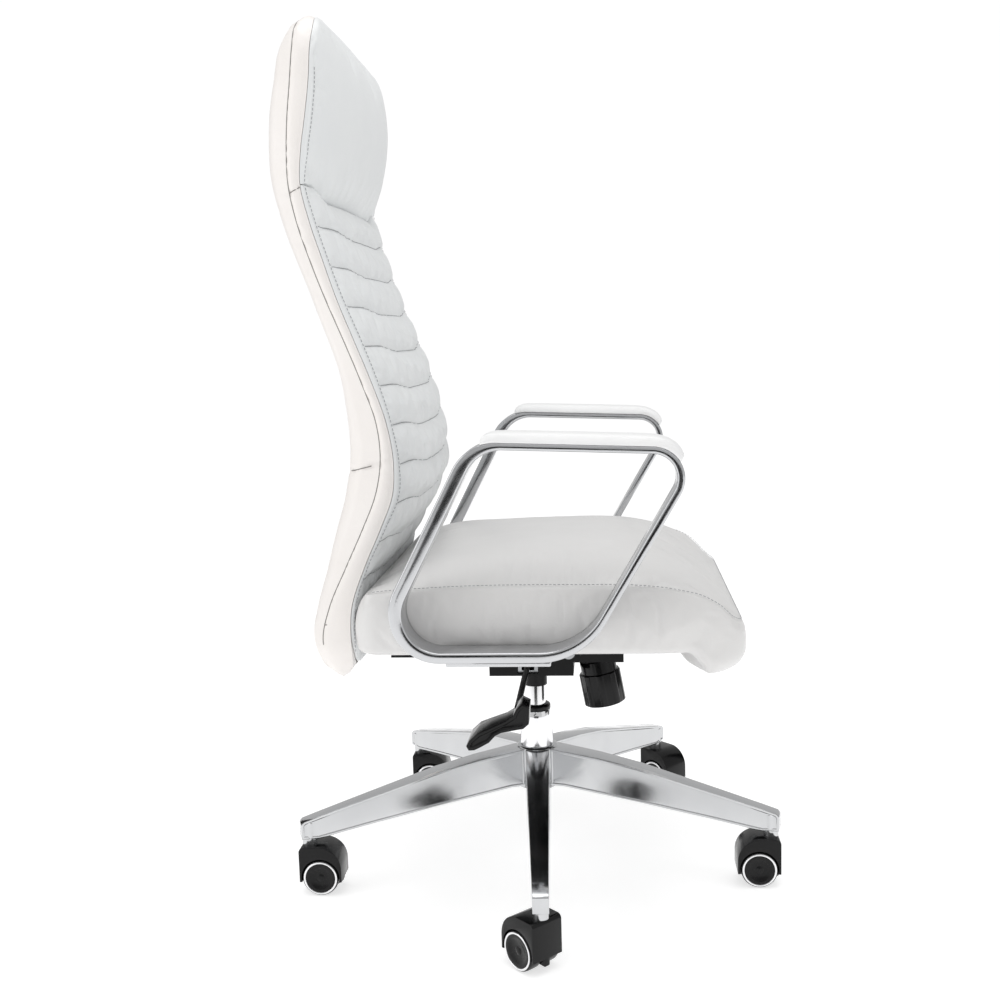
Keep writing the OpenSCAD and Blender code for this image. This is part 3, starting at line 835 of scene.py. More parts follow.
@dataclass
class Back:
    """The upholstered back: rear panel with gussets, channelled front cushion, and headrest.

    A station gives, at one height, the depth of the rear face, of the seam between rear panel and gusset,
    of the piped seam at the gusset's front edge, and of the front panel's stitched edge, in millimetres.
    """

    half_w: float = 225.0
    low: float = 320.0
    side_top: float = 1139.0
    crest: float = 10.0
    corner_r: float = 58.0
    rear_r: float = 30.0
    head_seam: float = 936.0
    channel_top: float = 890.0
    channel_pitch: float = 48.6
    centre_half_w: float = 166.0
    bow: float = 5.0
    rear_cross: Pair = (590.0, 15.0)
    head_cross: Pair = (929.0, 7.0)
    lower_cross: Pair = (398.0, 3.0)
    channels: int = 10
    wrap_in: float = 17.0
    lining_front: float = 12.0
    shell_front: float = 21.0
    stations: tuple[tuple[float, float, float, float, float], ...] = (
        (320, -243, -242, -236, -234),
        (328, -252, -246, -227, -225),
        (337, -259, -248, -220, -217),
        (352, -265, -250, -217, -215),
        (380, -270, -253, -217, -215),
        (420, -262, -243, -214, -212),
        (470, -247, -220, -196, -195),
        (520, -232, -196, -173, -170),
        (560, -220, -179, -157, -152),
        (600, -212, -171, -154, -150),
        (650, -213, -174, -161, -158),
        (700, -219, -190, -177, -172),
        (750, -233, -209, -196, -190),
        (800, -250, -229, -215, -210),
        (850, -267, -247, -231, -227),
        (900, -284, -262, -246, -242),
        (940, -293, -269, -254, -251),
        (980, -296, -269, -251, -247),
        (1020, -293, -266, -244, -240),
        (1060, -286, -261, -238, -235),
        (1100, -278, -257, -235, -233),
        (1131, -266, -256, -234, -232),
        (1150, -257, -252, -238, -236),
    )

    def depth(self, column: int, z: Array) -> Array:
        """The depth of one line of the side view at each height.

        Args:
            column: 1 rear face, 2 rear seam, 3 piped seam, 4 front stitched edge.
            z: Heights in millimetres.

        Returns:
            X in millimetres.
        """
        return through([(row[0], row[column]) for row in self.stations], z)

    def edge(self, y: Array, z: Array) -> tuple[Array, Array, Array]:
        """Distance inside the back's rounded outline, and the outline's outward direction there.

        Args:
            y: Places across in millimetres.
            z: Heights in millimetres.

        Returns:
            The distance in millimetres, and the direction's two parts.
        """
        rise = self.crest * (1 - (y / self.half_w) ** 2) * ease(z, 800, 1131)
        middle, half_z = (self.low + self.side_top) / 2, (self.side_top - self.low) / 2
        qy = np.abs(y) - (self.half_w - self.corner_r)
        qz = np.abs(z - rise - middle) - (half_z - self.corner_r)
        py, pz = np.maximum(qy, 0), np.maximum(qz, 0)
        reach = np.hypot(py, pz)
        inside = self.corner_r - (reach + np.minimum(np.maximum(qy, qz), 0))
        ny = np.where(reach > 0, py / np.maximum(reach, 1e-6), (qy > qz) * 1.0) * np.sign(y)
        nz = np.where(reach > 0, pz / np.maximum(reach, 1e-6), (qy <= qz) * 1.0) * np.sign(z - rise - middle)
        return np.maximum(inside, 0), ny, nz

    def spread_out(self, a: Array, b: Array) -> tuple[Array, Array]:
        """Maps the block's square onto the back's rounded outline, ring by ring."""
        half_z = (self.side_top - self.low) / 2
        ring, across, along, _, _ = on_outline(a, b, self.half_w, half_z, self.corner_r)
        y = across * ring
        z = along * ring + (self.low + self.side_top) / 2
        return y, z + self.crest * (1 - (y / self.half_w) ** 2) * ease(z, 800, 1131)

    @staticmethod
    def across_at(seam: Pair, share: Array) -> Array:
        """Height of a cross seam that climbs from its first number by its second on the way forward."""
        return seam[0] + seam[1] * share

    def rear_cover(self) -> Object:
        """Shapes the rear panel and both gussets, with their seams and puckers."""
        piece = block_of_quads("back_rear_cover", 104, 196, 9)
        a, b, c = points_of(piece).T
        y, z = self.spread_out(a, b)
        inside, ny, nz = self.edge(y, z)
        rear, seam, piped = (self.depth(k, z) for k in (1, 2, 3))
        roll = quarter_round(inside, self.rear_r)
        bow = self.bow * (1 - (y / self.half_w) ** 2) * ease(z, 330, 480)
        panel = rear - bow * (1 - roll) + (seam - rear) * roll
        lining = np.where(inside < self.wrap_in, piped - 0.4, rear + self.lining_front)
        x = np.where(c < 0.01, panel, np.where(c > 0.99, lining, seam + (piped - 0.4 - seam) * c))
        side = (inside < 20) & (c < 0.99)
        near_seam, near_pipe = valley(x - seam, 2.6), valley(x - piped, 2.4)
        puff = 2.2 * np.sin(math.pi * np.clip((x - seam) / (piped - seam), 0, 1)) * (inside < 1)
        pucker = 0.8 * np.sin((z + 0.9 * x) / 2.3) * ripple(z, x, 90) * (valley(x - seam, 9) + valley(x - piped, 8))
        cross = valley(z - self.across_at(self.rear_cross, (x - rear) / (piped - rear)), 2.4) * (c < 0.99)
        head = valley(z - self.across_at(self.head_cross, (x - seam) / (piped - seam)), 2.2)
        head = head * (inside < 2) * (x > seam - 1)
        out = np.where(side, puff + pucker - 1.9 * near_seam - 1.6 * near_pipe - 1.5 * head, 0)
        out = out - 1.6 * cross * (inside < 20)
        slack = 1.1 * ripple(y, z, 150) * (c < 0.01) * (1 - roll)
        x = x + 1.9 * cross * (c < 0.01) * (inside >= 12) - slack
        put_points(piece, np.stack([x, y + out * ny, z + out * nz], 1) * MM)
        outward(piece)
        smooth(piece, 60)
        return piece

    def seam_height(self, y: Array) -> Array:
        """Height of the seam between cushion and headrest, which steps down in from the sides."""
        return self.head_seam + 3 - 15 * ease(self.half_w - np.abs(y), 32, 84)

    def sag(self, y: Array) -> Array:
        """How far a channel's seam steps down in from the sides."""
        return 8.5 * ease(-np.abs(y), -172, -70)

    def wrap(self, piece: Object, c: Array, y: Array, z: Array, inside: Array, face: Array) -> None:
        """Puts a front panel's points in place, with its sides run back to the piped seam.

        Args:
            piece: The panel's block.
            c: Heights in the block: 0 on its hidden rear, 1 on its face.
            y: Places across in millimetres.
            z: Heights in millimetres.
            inside: Distances from the panel's outline.
            face: X of the face at each point.
        """
        rear, piped, front = (self.depth(k, z) for k in (1, 3, 4))
        hidden = np.where(inside < self.wrap_in, piped + 0.3, rear + self.shell_front)
        x = np.where(c > 0.99, face, np.where(c < 0.01, hidden, piped + 0.3 + (front - piped - 0.3) * c))
        tuck = -1.4 * valley(x - front, 2.0) * (inside < 6)
        side = np.sign(y) * tuck * (self.half_w - np.abs(y) < 6)
        put_points(piece, np.stack([x, y + side, z], 1) * MM)
        outward(piece)

    def front_cushion(self) -> Object:
        """Shapes the channelled cushion, from the lower end to the headrest seam."""
        piece = block_of_quads("back_front_cushion", 110, 208, 3)
        a, b, c = points_of(piece).T
        y = self.half_w * a * (1.5 - 0.5 * a * a)
        r, bottom = self.corner_r, 338.0
        drop = np.maximum(np.abs(y) - (self.half_w - r), 0)
        low = bottom + r - np.sqrt(np.maximum(r**2 - drop**2, 0))
        z = low + (self.seam_height(y) - 0.7 - low) * (b + 1) / 2
        inside = np.minimum(np.minimum(self.half_w - np.abs(y), z - low), self.seam_height(y) - z)
        step = ease(self.centre_half_w - np.abs(y), -9, 9)
        from_seam = (z + self.sag(y) - self.channel_top) / self.channel_pitch
        round_up = np.abs(np.sin(math.pi * from_seam)) ** 0.45
        sewn = ease(z, 330, 380) * (z < self.channel_top + self.channel_pitch * 0.98)
        channel = np.where(z > self.channel_top, np.clip(round_up * 1.25, 0, 1), round_up)
        fade = ease(inside, 2, 14)
        rise = 4.0 * (1 - np.exp(-inside / 5))
        bulge = 13 * (1 - (y / self.half_w) ** 2) * ease(z, 425, 520)
        puff = (7.5 * channel - 5.5) * sewn * fade + 2.4 * step * fade
        crease = 0.5 * ripple(y, z * 1.8, 46) * fade + 0.35 * np.sin(y / 3.1) * ripple(y, z, 60) * (1 - channel) * fade
        face = self.depth(4, z) + rise + bulge + puff + crease
        self.wrap(piece, c, y, z, inside, face)
        seams = np.clip(1.35 - round_up * 2.2, 0, 1) * sewn
        inflate(piece, np.where((c < 0.99) | (inside < 3) | (z < 410), 1.0, np.round(seams * 4) / 4), 5, 0.015)
        smooth(piece, 70)
        return piece

    def headrest(self) -> Object:
        """Shapes the full headrest above the channels."""
        piece = block_of_quads("headrest_cushion_skin", 104, 60, 3)
        a, b, c = points_of(piece).T
        y = self.half_w * a * (1.5 - 0.5 * a * a)
        drop = np.maximum(np.abs(y) - (self.half_w - self.corner_r), 0)
        top = self.side_top + self.crest * (1 - (y / self.half_w) ** 2) - self.corner_r
        top = top + np.sqrt(np.maximum(self.corner_r**2 - drop**2, 0))
        low = self.seam_height(y) + 0.7
        z = low + (top - low) * (b + 1) / 2
        inside = np.minimum(np.minimum(self.half_w - np.abs(y), z - low), top - z)
        height = np.clip((z - low) / (top - low), 0, 1)
        dome = np.sin(math.pi * height**0.8) ** 0.8
        across = np.maximum(1 - np.abs(y / self.half_w) ** 2.4, 0) ** 0.8
        rise = 5.5 * (1 - np.exp(-inside / 5))
        face = self.depth(4, z) + rise + 25 * dome * across + 0.7 * ripple(y, z, 130) * ease(inside, 4, 30)
        self.wrap(piece, c, y, z, inside, face)
        inflate(piece, np.where((c < 0.99) | (inside < 3), 1.0, 0.0), 9, 0.01)
        smooth(piece, 70)
        return piece

    def edge_stitches(self, side: Side) -> Object:
        """Stitches down the front panel's edge on one side."""
        z = np.linspace(362, 1080, 220)
        x = self.depth(4, z) + 2.6 + 1.8 * ease(z, 936, 985) * ease(-z, -1105, -1050)
        y = np.full_like(z, side.value * (self.half_w - 2.6))
        line = np.stack([x, y, z], 1) * MM
        out = np.tile([0.75, 0.66 * side.value, 0.0], (len(z), 1))
        return Stitching().run(f"back_stitches_{side.word}", line, out)

    def panel_seam(self, side: Side) -> Object:
        """The seam between rear panel and gusset on one side, over the top as far as the middle."""
        steps = 90
        b = np.concatenate([np.linspace(-0.9, 1, 2 * steps), np.full(steps, 1.0)])
        a = np.concatenate([np.full(2 * steps, 1.0), np.linspace(0.99, 0.02, steps)]) * side.value
        y, z = self.spread_out(a, b)
        _, ny, nz = self.edge(y, z)
        line = np.stack([self.depth(2, z), y - 1.5 * ny, z - 1.5 * nz], 1) * MM
        out = np.stack([np.full_like(ny, -0.4), 0.92 * ny, 0.92 * nz], 1)
        return cord(f"rear_panel_seam_{side.word}", line, out)

    def gusset_seam(self, side: Side, name: str, cross: Pair) -> Object:
        """A short seam across one gusset."""
        t = np.linspace(0.02, 0.97, 14)
        z = self.across_at(cross, t)
        seam, piped = self.depth(2, z), self.depth(3, z)
        y = side.value * (self.half_w + 1.6 * np.sin(math.pi * t) - 0.4)
        line = np.stack([seam + (piped - seam) * t, y, z], 1) * MM
        out = np.tile([0.0, side.value, 0.0], (len(z), 1))
        return cord(f"{name}_{side.word}", line, out)

    def rear_cross_seam(self) -> Object:
        """The seam across the rear panel, which climbs round both of its edges."""
        y = np.linspace(1 - self.half_w, self.half_w - 1, 150)
        height = np.full_like(y, 594.0)
        rear, seam, piped = (self.depth(k, height) for k in (1, 2, 3))
        roll = quarter_round(self.half_w - np.abs(y), self.rear_r)
        x = rear - self.bow * (1 - (y / self.half_w) ** 2) * (1 - roll) + (seam - rear) * roll
        z = self.across_at(self.rear_cross, (x - rear) / (piped - rear))
        lean = np.sign(y) * np.minimum(roll * 1.6, 0.8)
        out = np.stack([-np.sqrt(1 - lean**2), lean, np.zeros_like(y)], 1)
        line = np.stack([x + 0.4 * (1 - roll), y - 0.4 * lean, z], 1) * MM
        return cord("rear_cross_seam", line, out, 1.2, 0.8)

    def channel_seam(self, number: int, cushion: BVHTree) -> Object:
        """Grey run in the bottom of one channel, laid on the finished cushion: it stands for the channel's stitching
        and paints the shade in the channel's crease.

        Args:
            number: The channel seam's number, from the top.
            cushion: The front cushion's surface.

        Returns:
            The thread.
        """
        reach = self.half_w - 12
        y = np.linspace(-reach, reach, 150)
        z = self.channel_top - number * self.channel_pitch - self.sag(y)
        ahead = 500 * MM
        found = [cushion.ray_cast(Vector((ahead, u * MM, v * MM)), Vector((-1, 0, 0))) for u, v in zip(y, z)]
        line = np.array([tuple(place + face * 0.1 * MM) for place, face, _, _ in found])
        out = np.array([tuple(face) for _, face, _, _ in found])
        return cord(f"channel_seam_{number}", line, out, 0.9, 0.8)

    def build(self) -> None:
        """Builds and dresses the back."""
        for side in Side:
            # The seam runs between panels get a dark finish: painted shade along the seam lines.
            finish_piece(self.panel_seam(side), SEAM_SHADE_STRIP, "upper")
            for name, cross in (("head_cross_seam", self.head_cross), ("lower_cross_seam", self.lower_cross)):
                finish_piece(self.gusset_seam(side, name, cross), SEAM_SHADE_STRIP, "upper")
        finish_piece(self.rear_cross_seam(), SEAM_SHADE_STRIP, "upper")
        finish_piece(self.rear_cover(), REAR_LEATHER, "upper", ["back_cover"])
        cushion = self.front_cushion()
        finish_piece(cushion, FRONT_LEATHER, "upper", ["back_cushion"])
        mesh = cushion.data
        surface = BVHTree.FromPolygons([v.co for v in mesh.vertices], [tuple(f.vertices) for f in mesh.polygons])
        for number in range(self.channels):
            # Each channel run takes the thread's grey: stitching and painted crease shade in one line.
            finish_piece(self.channel_seam(number, surface), THREAD, "upper")
        finish_piece(self.headrest(), FRONT_LEATHER, "upper", ["headrest_cushion"])
        for side in Side:
            finish_piece(self.edge_stitches(side), THREAD, "upper")


@dataclass
class Seat:
    """The seat cushion: crowned top, side band under a stitched seam, and a waterfall front."""

    rear_x: float = -207.0
    front_x: float = 274.0
    half_w: float = 248.0
    rear_r: float = 26.0
    front_r: float = 52.0
    low: float = 362.0
    nose_low: float = 332.0
    seam: tuple[Pair, ...] = (
        *((-207, 438), (-184, 441), (-112, 446), (79, 448), (136, 447)),
        *((193, 440), (222, 432), (244, 419), (262, 402), (274, 395)),
    )
    crown: tuple[Pair, ...] = (
        *((-207, 439), (-190, 452), (-150, 466), (-50, 477), (60, 480), (110, 479)),
        *((150, 474), (190, 461), (225, 441), (250, 421), (274, 396)),
    )

    def spread_out(self, a: Array, b: Array) -> tuple[Array, Array, Array, Array, Array]:
        """Maps the block's square onto the seat's plan, ring by ring.

        Args:
            a: Places across the block.
            b: Places along the block, from rear to front.

        Returns:
            X and Y, the X of the same ring direction on the outline, and the outline's outward direction.
        """
        r = np.where(b > 0, self.front_r, self.rear_r)
        half_x = (self.front_x - self.rear_x) / 2
        ring, y, x, ny, nx = on_outline(a, b, self.half_w, half_x, r)
        middle = (self.front_x + self.rear_x) / 2
        return x * ring + middle, y * ring, x + middle, nx, ny

    def cushion(self) -> Object:
        """Shapes the cushion and blows its leather up."""
        piece = block_of_quads("seat_cushion_skin", 116, 116, 22)
        a, b, c = points_of(piece).T
        ring = np.maximum(np.abs(a), np.abs(b))
        x, y, edge_x, nx, ny = self.spread_out(a, b)
        seam = through(self.seam, edge_x)
        beside = through(self.seam, x)
        dome = np.maximum(1 - (y / self.half_w) ** 2, 0) ** 0.8
        front = ease(edge_x, 170, 262)
        top_z = seam + (beside + (through(self.crown, x) - beside) * dome - seam) * ease(1 - ring, 0, 0.04)
        low = self.low + (self.nose_low - self.low) * ease(x, 200, 236)
        band_z = low + (seam - low) * c
        t = np.clip(c, 0, 1)
        belly = 3.5 * np.sin(math.pi * np.clip(t * 1.05, 0, 1)) ** 0.8
        under_r = 11 + 17 * front
        tuck = under_r * quarter_round(band_z - low, under_r) + 4 * front * (1 - t)
        lean = ease(-edge_x, 190, 207) * (9 * t**3)
        flat = np.where(c >= 0.999, -lean, -(under_r + 4 * front)) * ring
        move = np.where((c > 0.001) & (c < 0.999), belly - tuck - lean, flat)
        groove = -2.4 * valley(band_z - seam, 3.0) * (ring > 0.999)
        move = move + groove * (c > 0.5)
        corner = valley(x + 199, 2.2) * (c > 0.001) * (c < 0.97) * (ring > 0.999)
        move = move - 1.6 * corner
        z = np.where(c >= 0.999, top_z, np.where(c <= 0.001, low, band_z))
        put_points(piece, np.stack([x + move * nx, y + move * ny, z], 1) * MM)
        outward(piece)
        held = np.where((c < 0.12) | ((ring > 0.985) & (np.abs(band_z - seam) < 4) & (c > 0.5)), 1.0, 0.0)
        inflate(piece, held, 7, 0.012)
        smooth(piece, 70)
        return piece

    def stitches(self) -> Object:
        """Stitches just above the side seam, round both sides and the front."""
        steps = 150
        b = np.concatenate([np.linspace(-0.93, 1, steps), np.full(steps, 1.0), np.linspace(1, -0.93, steps)])
        a = np.concatenate([np.full(steps, -1.0), np.linspace(-1, 1, steps), np.full(steps, 1.0)])
        x, y, edge_x, nx, ny = self.spread_out(a, b)
        z = through(self.seam, edge_x) + 2.6
        line = np.stack([x - 3.4 * nx, y - 3.4 * ny, z], 1) * MM
        keep = np.concatenate([[True], np.linalg.norm(np.diff(line, axis=0), axis=1) > 1e-6])
        out = np.stack([nx, ny, np.full_like(nx, 0.3)], 1)
        return Stitching().run("seat_stitches", line[keep], out[keep])

    def build(self) -> None:
        """Builds and dresses the seat."""
        finish_piece(self.cushion(), SEAT_LEATHER, "upper", ["seat_cushion"])
        finish_piece(self.stitches(), THREAD, "upper")


# ---- Arms ----


@dataclass
class Arm:
    """One loop armrest with its padded top."""

    side: Side
    corners: tuple[Pair, ...] = ((-168, 380), (77, 380), (215, 615), (-40, 626))
    inner_offset: tuple[float, ...] = (0, -4, -4, 0)
    outer_offset: tuple[float, ...] = (13, 5, 5, 17)
    inner_radii: tuple[float, ...] = (45, 85, 29, 46)
    outer_radii: tuple[float, ...] = (60, 96, 38, 58)
    outer_y: float = 300.0
    band_w: float = 44.0
    pad_t: float = 11.0
    pad_overhang: float = 3.0
    foot_x: Pair = (-92.0, 36.0)
    foot_reach_y: float = 160.0
    foot_z: Pair = (355.0, 362.0)
    steps: int = 22

    def outline(self, offset: Sequence[float], radii: Sequence[float]) -> list[Pair]:
        """One rounded outline of the loop, in millimetres."""
        return rounded(moved_edges(self.corners, offset), radii, self.steps)

    def loop(self) -> Object:
        """Models the cast loop: two outlines bridged, pulled across, and their edges softened."""
        near = self.outer_y - self.band_w
        outer = trace("arm_band", self.outline(self.outer_offset, self.outer_radii), near)
        inner = trace("arm_band_inner", self.outline(self.inner_offset, self.inner_radii), near)
        band = join("arm_band", [outer, inner])
        edit(band, "EDGE")
        bpy.ops.mesh.select_all(action="SELECT")
        bpy.ops.mesh.bridge_edge_loops()
        bpy.ops.mesh.select_all(action="SELECT")
        bpy.ops.mesh.extrude_region_move(TRANSFORM_OT_translate={"value": (0, self.band_w * MM, 0)})
        close_edit()
        outward(band)
        round_edges(band, 2.4, 3, 50)
        return band

    def foot(self) -> Object:
        """Models the foot that reaches from the band to the screws under the seat pan."""
        (x0, x1), (z0, z1) = self.foot_x, self.foot_z
        end = self.outer_y - self.band_w + 14
        outline = [(x0, z0), (x1, z0), (x1, z1), (x0, z1)]
        foot = slab("arm_foot", outline, self.foot_reach_y, end)
        web = slab(
            "arm_foot_web",
            [(x0 + 2, z0 + 0.5), (x1 - 2, z0 + 0.5), (x1 + 10, 373), (x0 - 10, 373)],
            self.outer_y - self.band_w + 1,
            end - 1,
        )
        made = join("arm_foot", [foot, web])
        round_edges(made, 1.5, 2)
        return made

    def pad(self) -> Object:
        """Shapes the leather pad that lies on the top bar and rolls over both ends."""
        piece = block_of_quads("arm_pad", 26, 110, 6)
        a, b, c = points_of(piece).T
        path = np.array(self.outline(self.outer_offset, self.outer_radii))
        path = np.roll(path, -2 * (self.steps + 1), axis=0)[: 2 * (self.steps + 1)]
        spots = np.linspace(0, len(path) - 1, 900)
        dense = np.stack([np.interp(spots, np.arange(len(path)), path[:, i]) for i in (0, 1)], 1)
        dense = dense[(dense[:, 0] > -39) & (dense[:, 1] > 604)]
        run = np.concatenate([[0], np.cumsum(np.linalg.norm(np.diff(dense, axis=0), axis=1))])
        at = (b + 1) / 2 * run[-1]
        x, z = (np.interp(at, run, dense[:, i]) for i in (0, 1))
        dx, dz = (np.interp(at, run, np.gradient(dense[:, i], run)) for i in (0, 1))
        size = np.maximum(np.hypot(dx, dz), 1e-9)
        nx, nz = dz / size, -dx / size
        ends = np.minimum(at, run[-1] - at)
        taper = np.sqrt(np.clip(1 - (1 - np.clip(ends / 16, 0, 1)) ** 2, 0, 1))
        half = (self.band_w / 2 + self.pad_overhang) * (0.9 + 0.1 * taper)
        crown = (1 - np.abs(a) ** 5) ** (1 / 3)
        thick = self.pad_t * (0.45 + 0.55 * crown) * (0.25 + 0.75 * taper)
        height = 0.15 + c * thick
        belly = 1 + 0.035 * np.sin(math.pi * c)
        y = self.outer_y - self.band_w / 2 + a * half * belly
        put_points(piece, np.stack([x + nx * height, y, z + nz * height], 1) * MM)
        outward(piece)
        inflate(piece, np.where(c < 0.3, 1.0, 0.0), 1.5, 0.004)
        smooth(piece, 70)
        return piece

    def build(self) -> None:
        """Builds and dresses the arm, on its own side."""
        loop = join(f"arm_loop_{self.side.word}_casting", [self.loop(), self.foot()])
        pad = self.pad()
        pad.name = f"arm_pad_{self.side.word}_skin"
        if self.side is Side.RIGHT:
            for piece in (loop, pad):
                piece.data.transform(Matrix.Scale(-1, 4, (0, 1, 0)))
                piece.data.flip_normals()
        smooth(loop, 40)
        finish_piece(loop, ALUMINIUM, "upper", [f"arm_loop_{self.side.word}"])
        finish_piece(pad, PAD_LEATHER, "upper", [f"arm_pad_{self.side.word}"])


# ---- Base ----


def leg_angle(number: int) -> float:
    """Which way a leg points, in radians. The first leg is number 0."""
    return math.radians(270 + LEG_TURN + 360 / LEGS * number)


@dataclass
class StarBase:
    """The five-leg star base: legs with recessed sides, hub, and a collar at each tip."""

    reach: float = 345.0
    root_z: float = 168.0
    tip_z: float = 100.0
    root_w: float = 34.0
    tip_w: float = 20.0
    collar_low: float = 66.0
    collar_r: float = 10.2
    hub_r: float = 30.0
    hub_low: float = 107.0

    def leg(self) -> Object:
        """Models one leg along X."""
        top = [(24, self.root_z - 2), (90, 158), (150, 147.5), (207, 133.5)]
        top += [(270, 118), (320, 105.5), (341, self.tip_z)]
        tip = [(345, self.tip_z - 4), (345, 76)]
        under = [(322, 74), (250, 85), (150, 99), (45, 112), (24, 112)]
        leg = slab("leg", top + tip + under, -self.root_w / 2, self.root_w / 2)
        places = points_of(leg)
        share = np.clip((places[:, 0] / MM - self.hub_r) / (self.reach - 8 - self.hub_r), 0, 1)
        places[:, 1] *= 1 + (self.tip_w / self.root_w - 1) * share
        put_points(leg, places)
        edit(leg, "FACE")
        pick_faces(leg, lambda c, n: abs(n.y) > 0.9)
        bpy.ops.mesh.inset(thickness=3.0 * MM, use_individual=True)
        bpy.ops.mesh.inset(thickness=0.8 * MM, depth=-0.8 * MM, use_individual=True)
        close_edit()
        round_edges(leg, 1.2, 3, 38)
        return leg

    def collar(self) -> Object:
        """Models the collar that takes a caster's stem."""
        r, low, high = self.collar_r, self.collar_low, 99.0
        profile = [(6, low), (r - 1, low), (r, low + 1), (r, high - 2), (r - 2, high), (0, high)]
        collar = turned("collar", profile, 40)
        collar.data.transform(Matrix.Translation((STEM_R * MM, 0, 0)))
        return collar

    def hub(self) -> Object:
        """Models the hub with its stepped shoulder."""
        r, low, high = self.hub_r, self.hub_low, self.root_z
        profile = [(18, low), (r - 2, low), (r, low + 2), (r, high - 4), (r - 1, high - 1.5)]
        profile += [(r - 3.5, high), (20, high), (20, high - 6), (18, high - 8), (18, low)]
        return turned("hub", profile, 96)

    def build(self) -> None:
        """Builds and dresses the base."""
        first = join("leg", [self.leg(), self.collar()])
        parts = [self.hub()]
        parts += [twin(first, f"leg_{k}", Matrix.Rotation(leg_angle(k), 4, "Z")) for k in range(LEGS)]
        bpy.data.objects.remove(first)
        base = join("star_base_casting", parts)
        smooth(base, 38)
        finish_piece(base, BASE_ALUMINIUM, "base", ["star_base"])


@dataclass
class Column:
    """The pressed column, its guide bush, and the gas cylinder that slides in it."""

    root_r: float = 24.0
    seat_r: float = 20.0
    foot_r: float = 17.5
    root_z: float = 168.0
    top_z: float = 220.0
    bush_top: float = 228.0
    gas_r: float = 14.0
    gas_low: float = 75.0
    gas_top: float = 296.0

    def build(self) -> None:
        """Builds and dresses the column."""
        z = self.root_z
        shape = [(5, 37), (self.foot_r - 1, 37), (self.foot_r, 38), (self.foot_r, 103), (self.seat_r - 0.2, 107)]
        shape += [(self.seat_r - 0.2, z - 0.5), (self.root_r - 0.8, z), (self.root_r, z + 1)]
        shape += [(self.root_r - 0.3, z + 9), (22.4, 196), (21.2, 210), (20.4, self.top_z - 1)]
        shape += [(19.6, self.top_z), (16.6, self.top_z), (16.6, 41), (5, 41), (5, 37)]
        column = turned("gas_column_tube", shape, 96)
        smooth(column, 40)
        finish_piece(column, CHROME, "base", ["gas_column"])
        top, g = self.bush_top, self.gas_r + 0.1
        ring = [(g, 122), (16.2, 122), (16.2, top - 7.9), (20.4, top - 7.9), (20.7, top - 7)]
        ring += [(20.7, top - 3), (20, top - 1.2), (18, top), (15, top), (g, top - 1), (g, 122)]
        bush = turned("column_bush_ring", ring, 96)
        smooth(bush, 40)
        finish_piece(bush, NYLON, "base", ["column_bush"])
        low, high, r = self.gas_low, self.gas_top, self.gas_r
        tube = [(4.1, low), (r - 1, low), (r, low + 1), (r, high - 24), (r - 0.3, high - 23), (r - 0.3, high - 1.5)]
        tube += [(r - 1.5, high), (3.2, high), (3.2, high - 10)]
        tube += [(r - 2.5, high - 12), (r - 2.5, low + 5), (4.1, low + 5), (4.1, low)]
        gas = turned("gas_cylinder_tube", tube, 96)
        smooth(gas, 40)
        finish_piece(gas, CHROME, "chassis", ["gas_cylinder"])


# ---- Mechanism ----


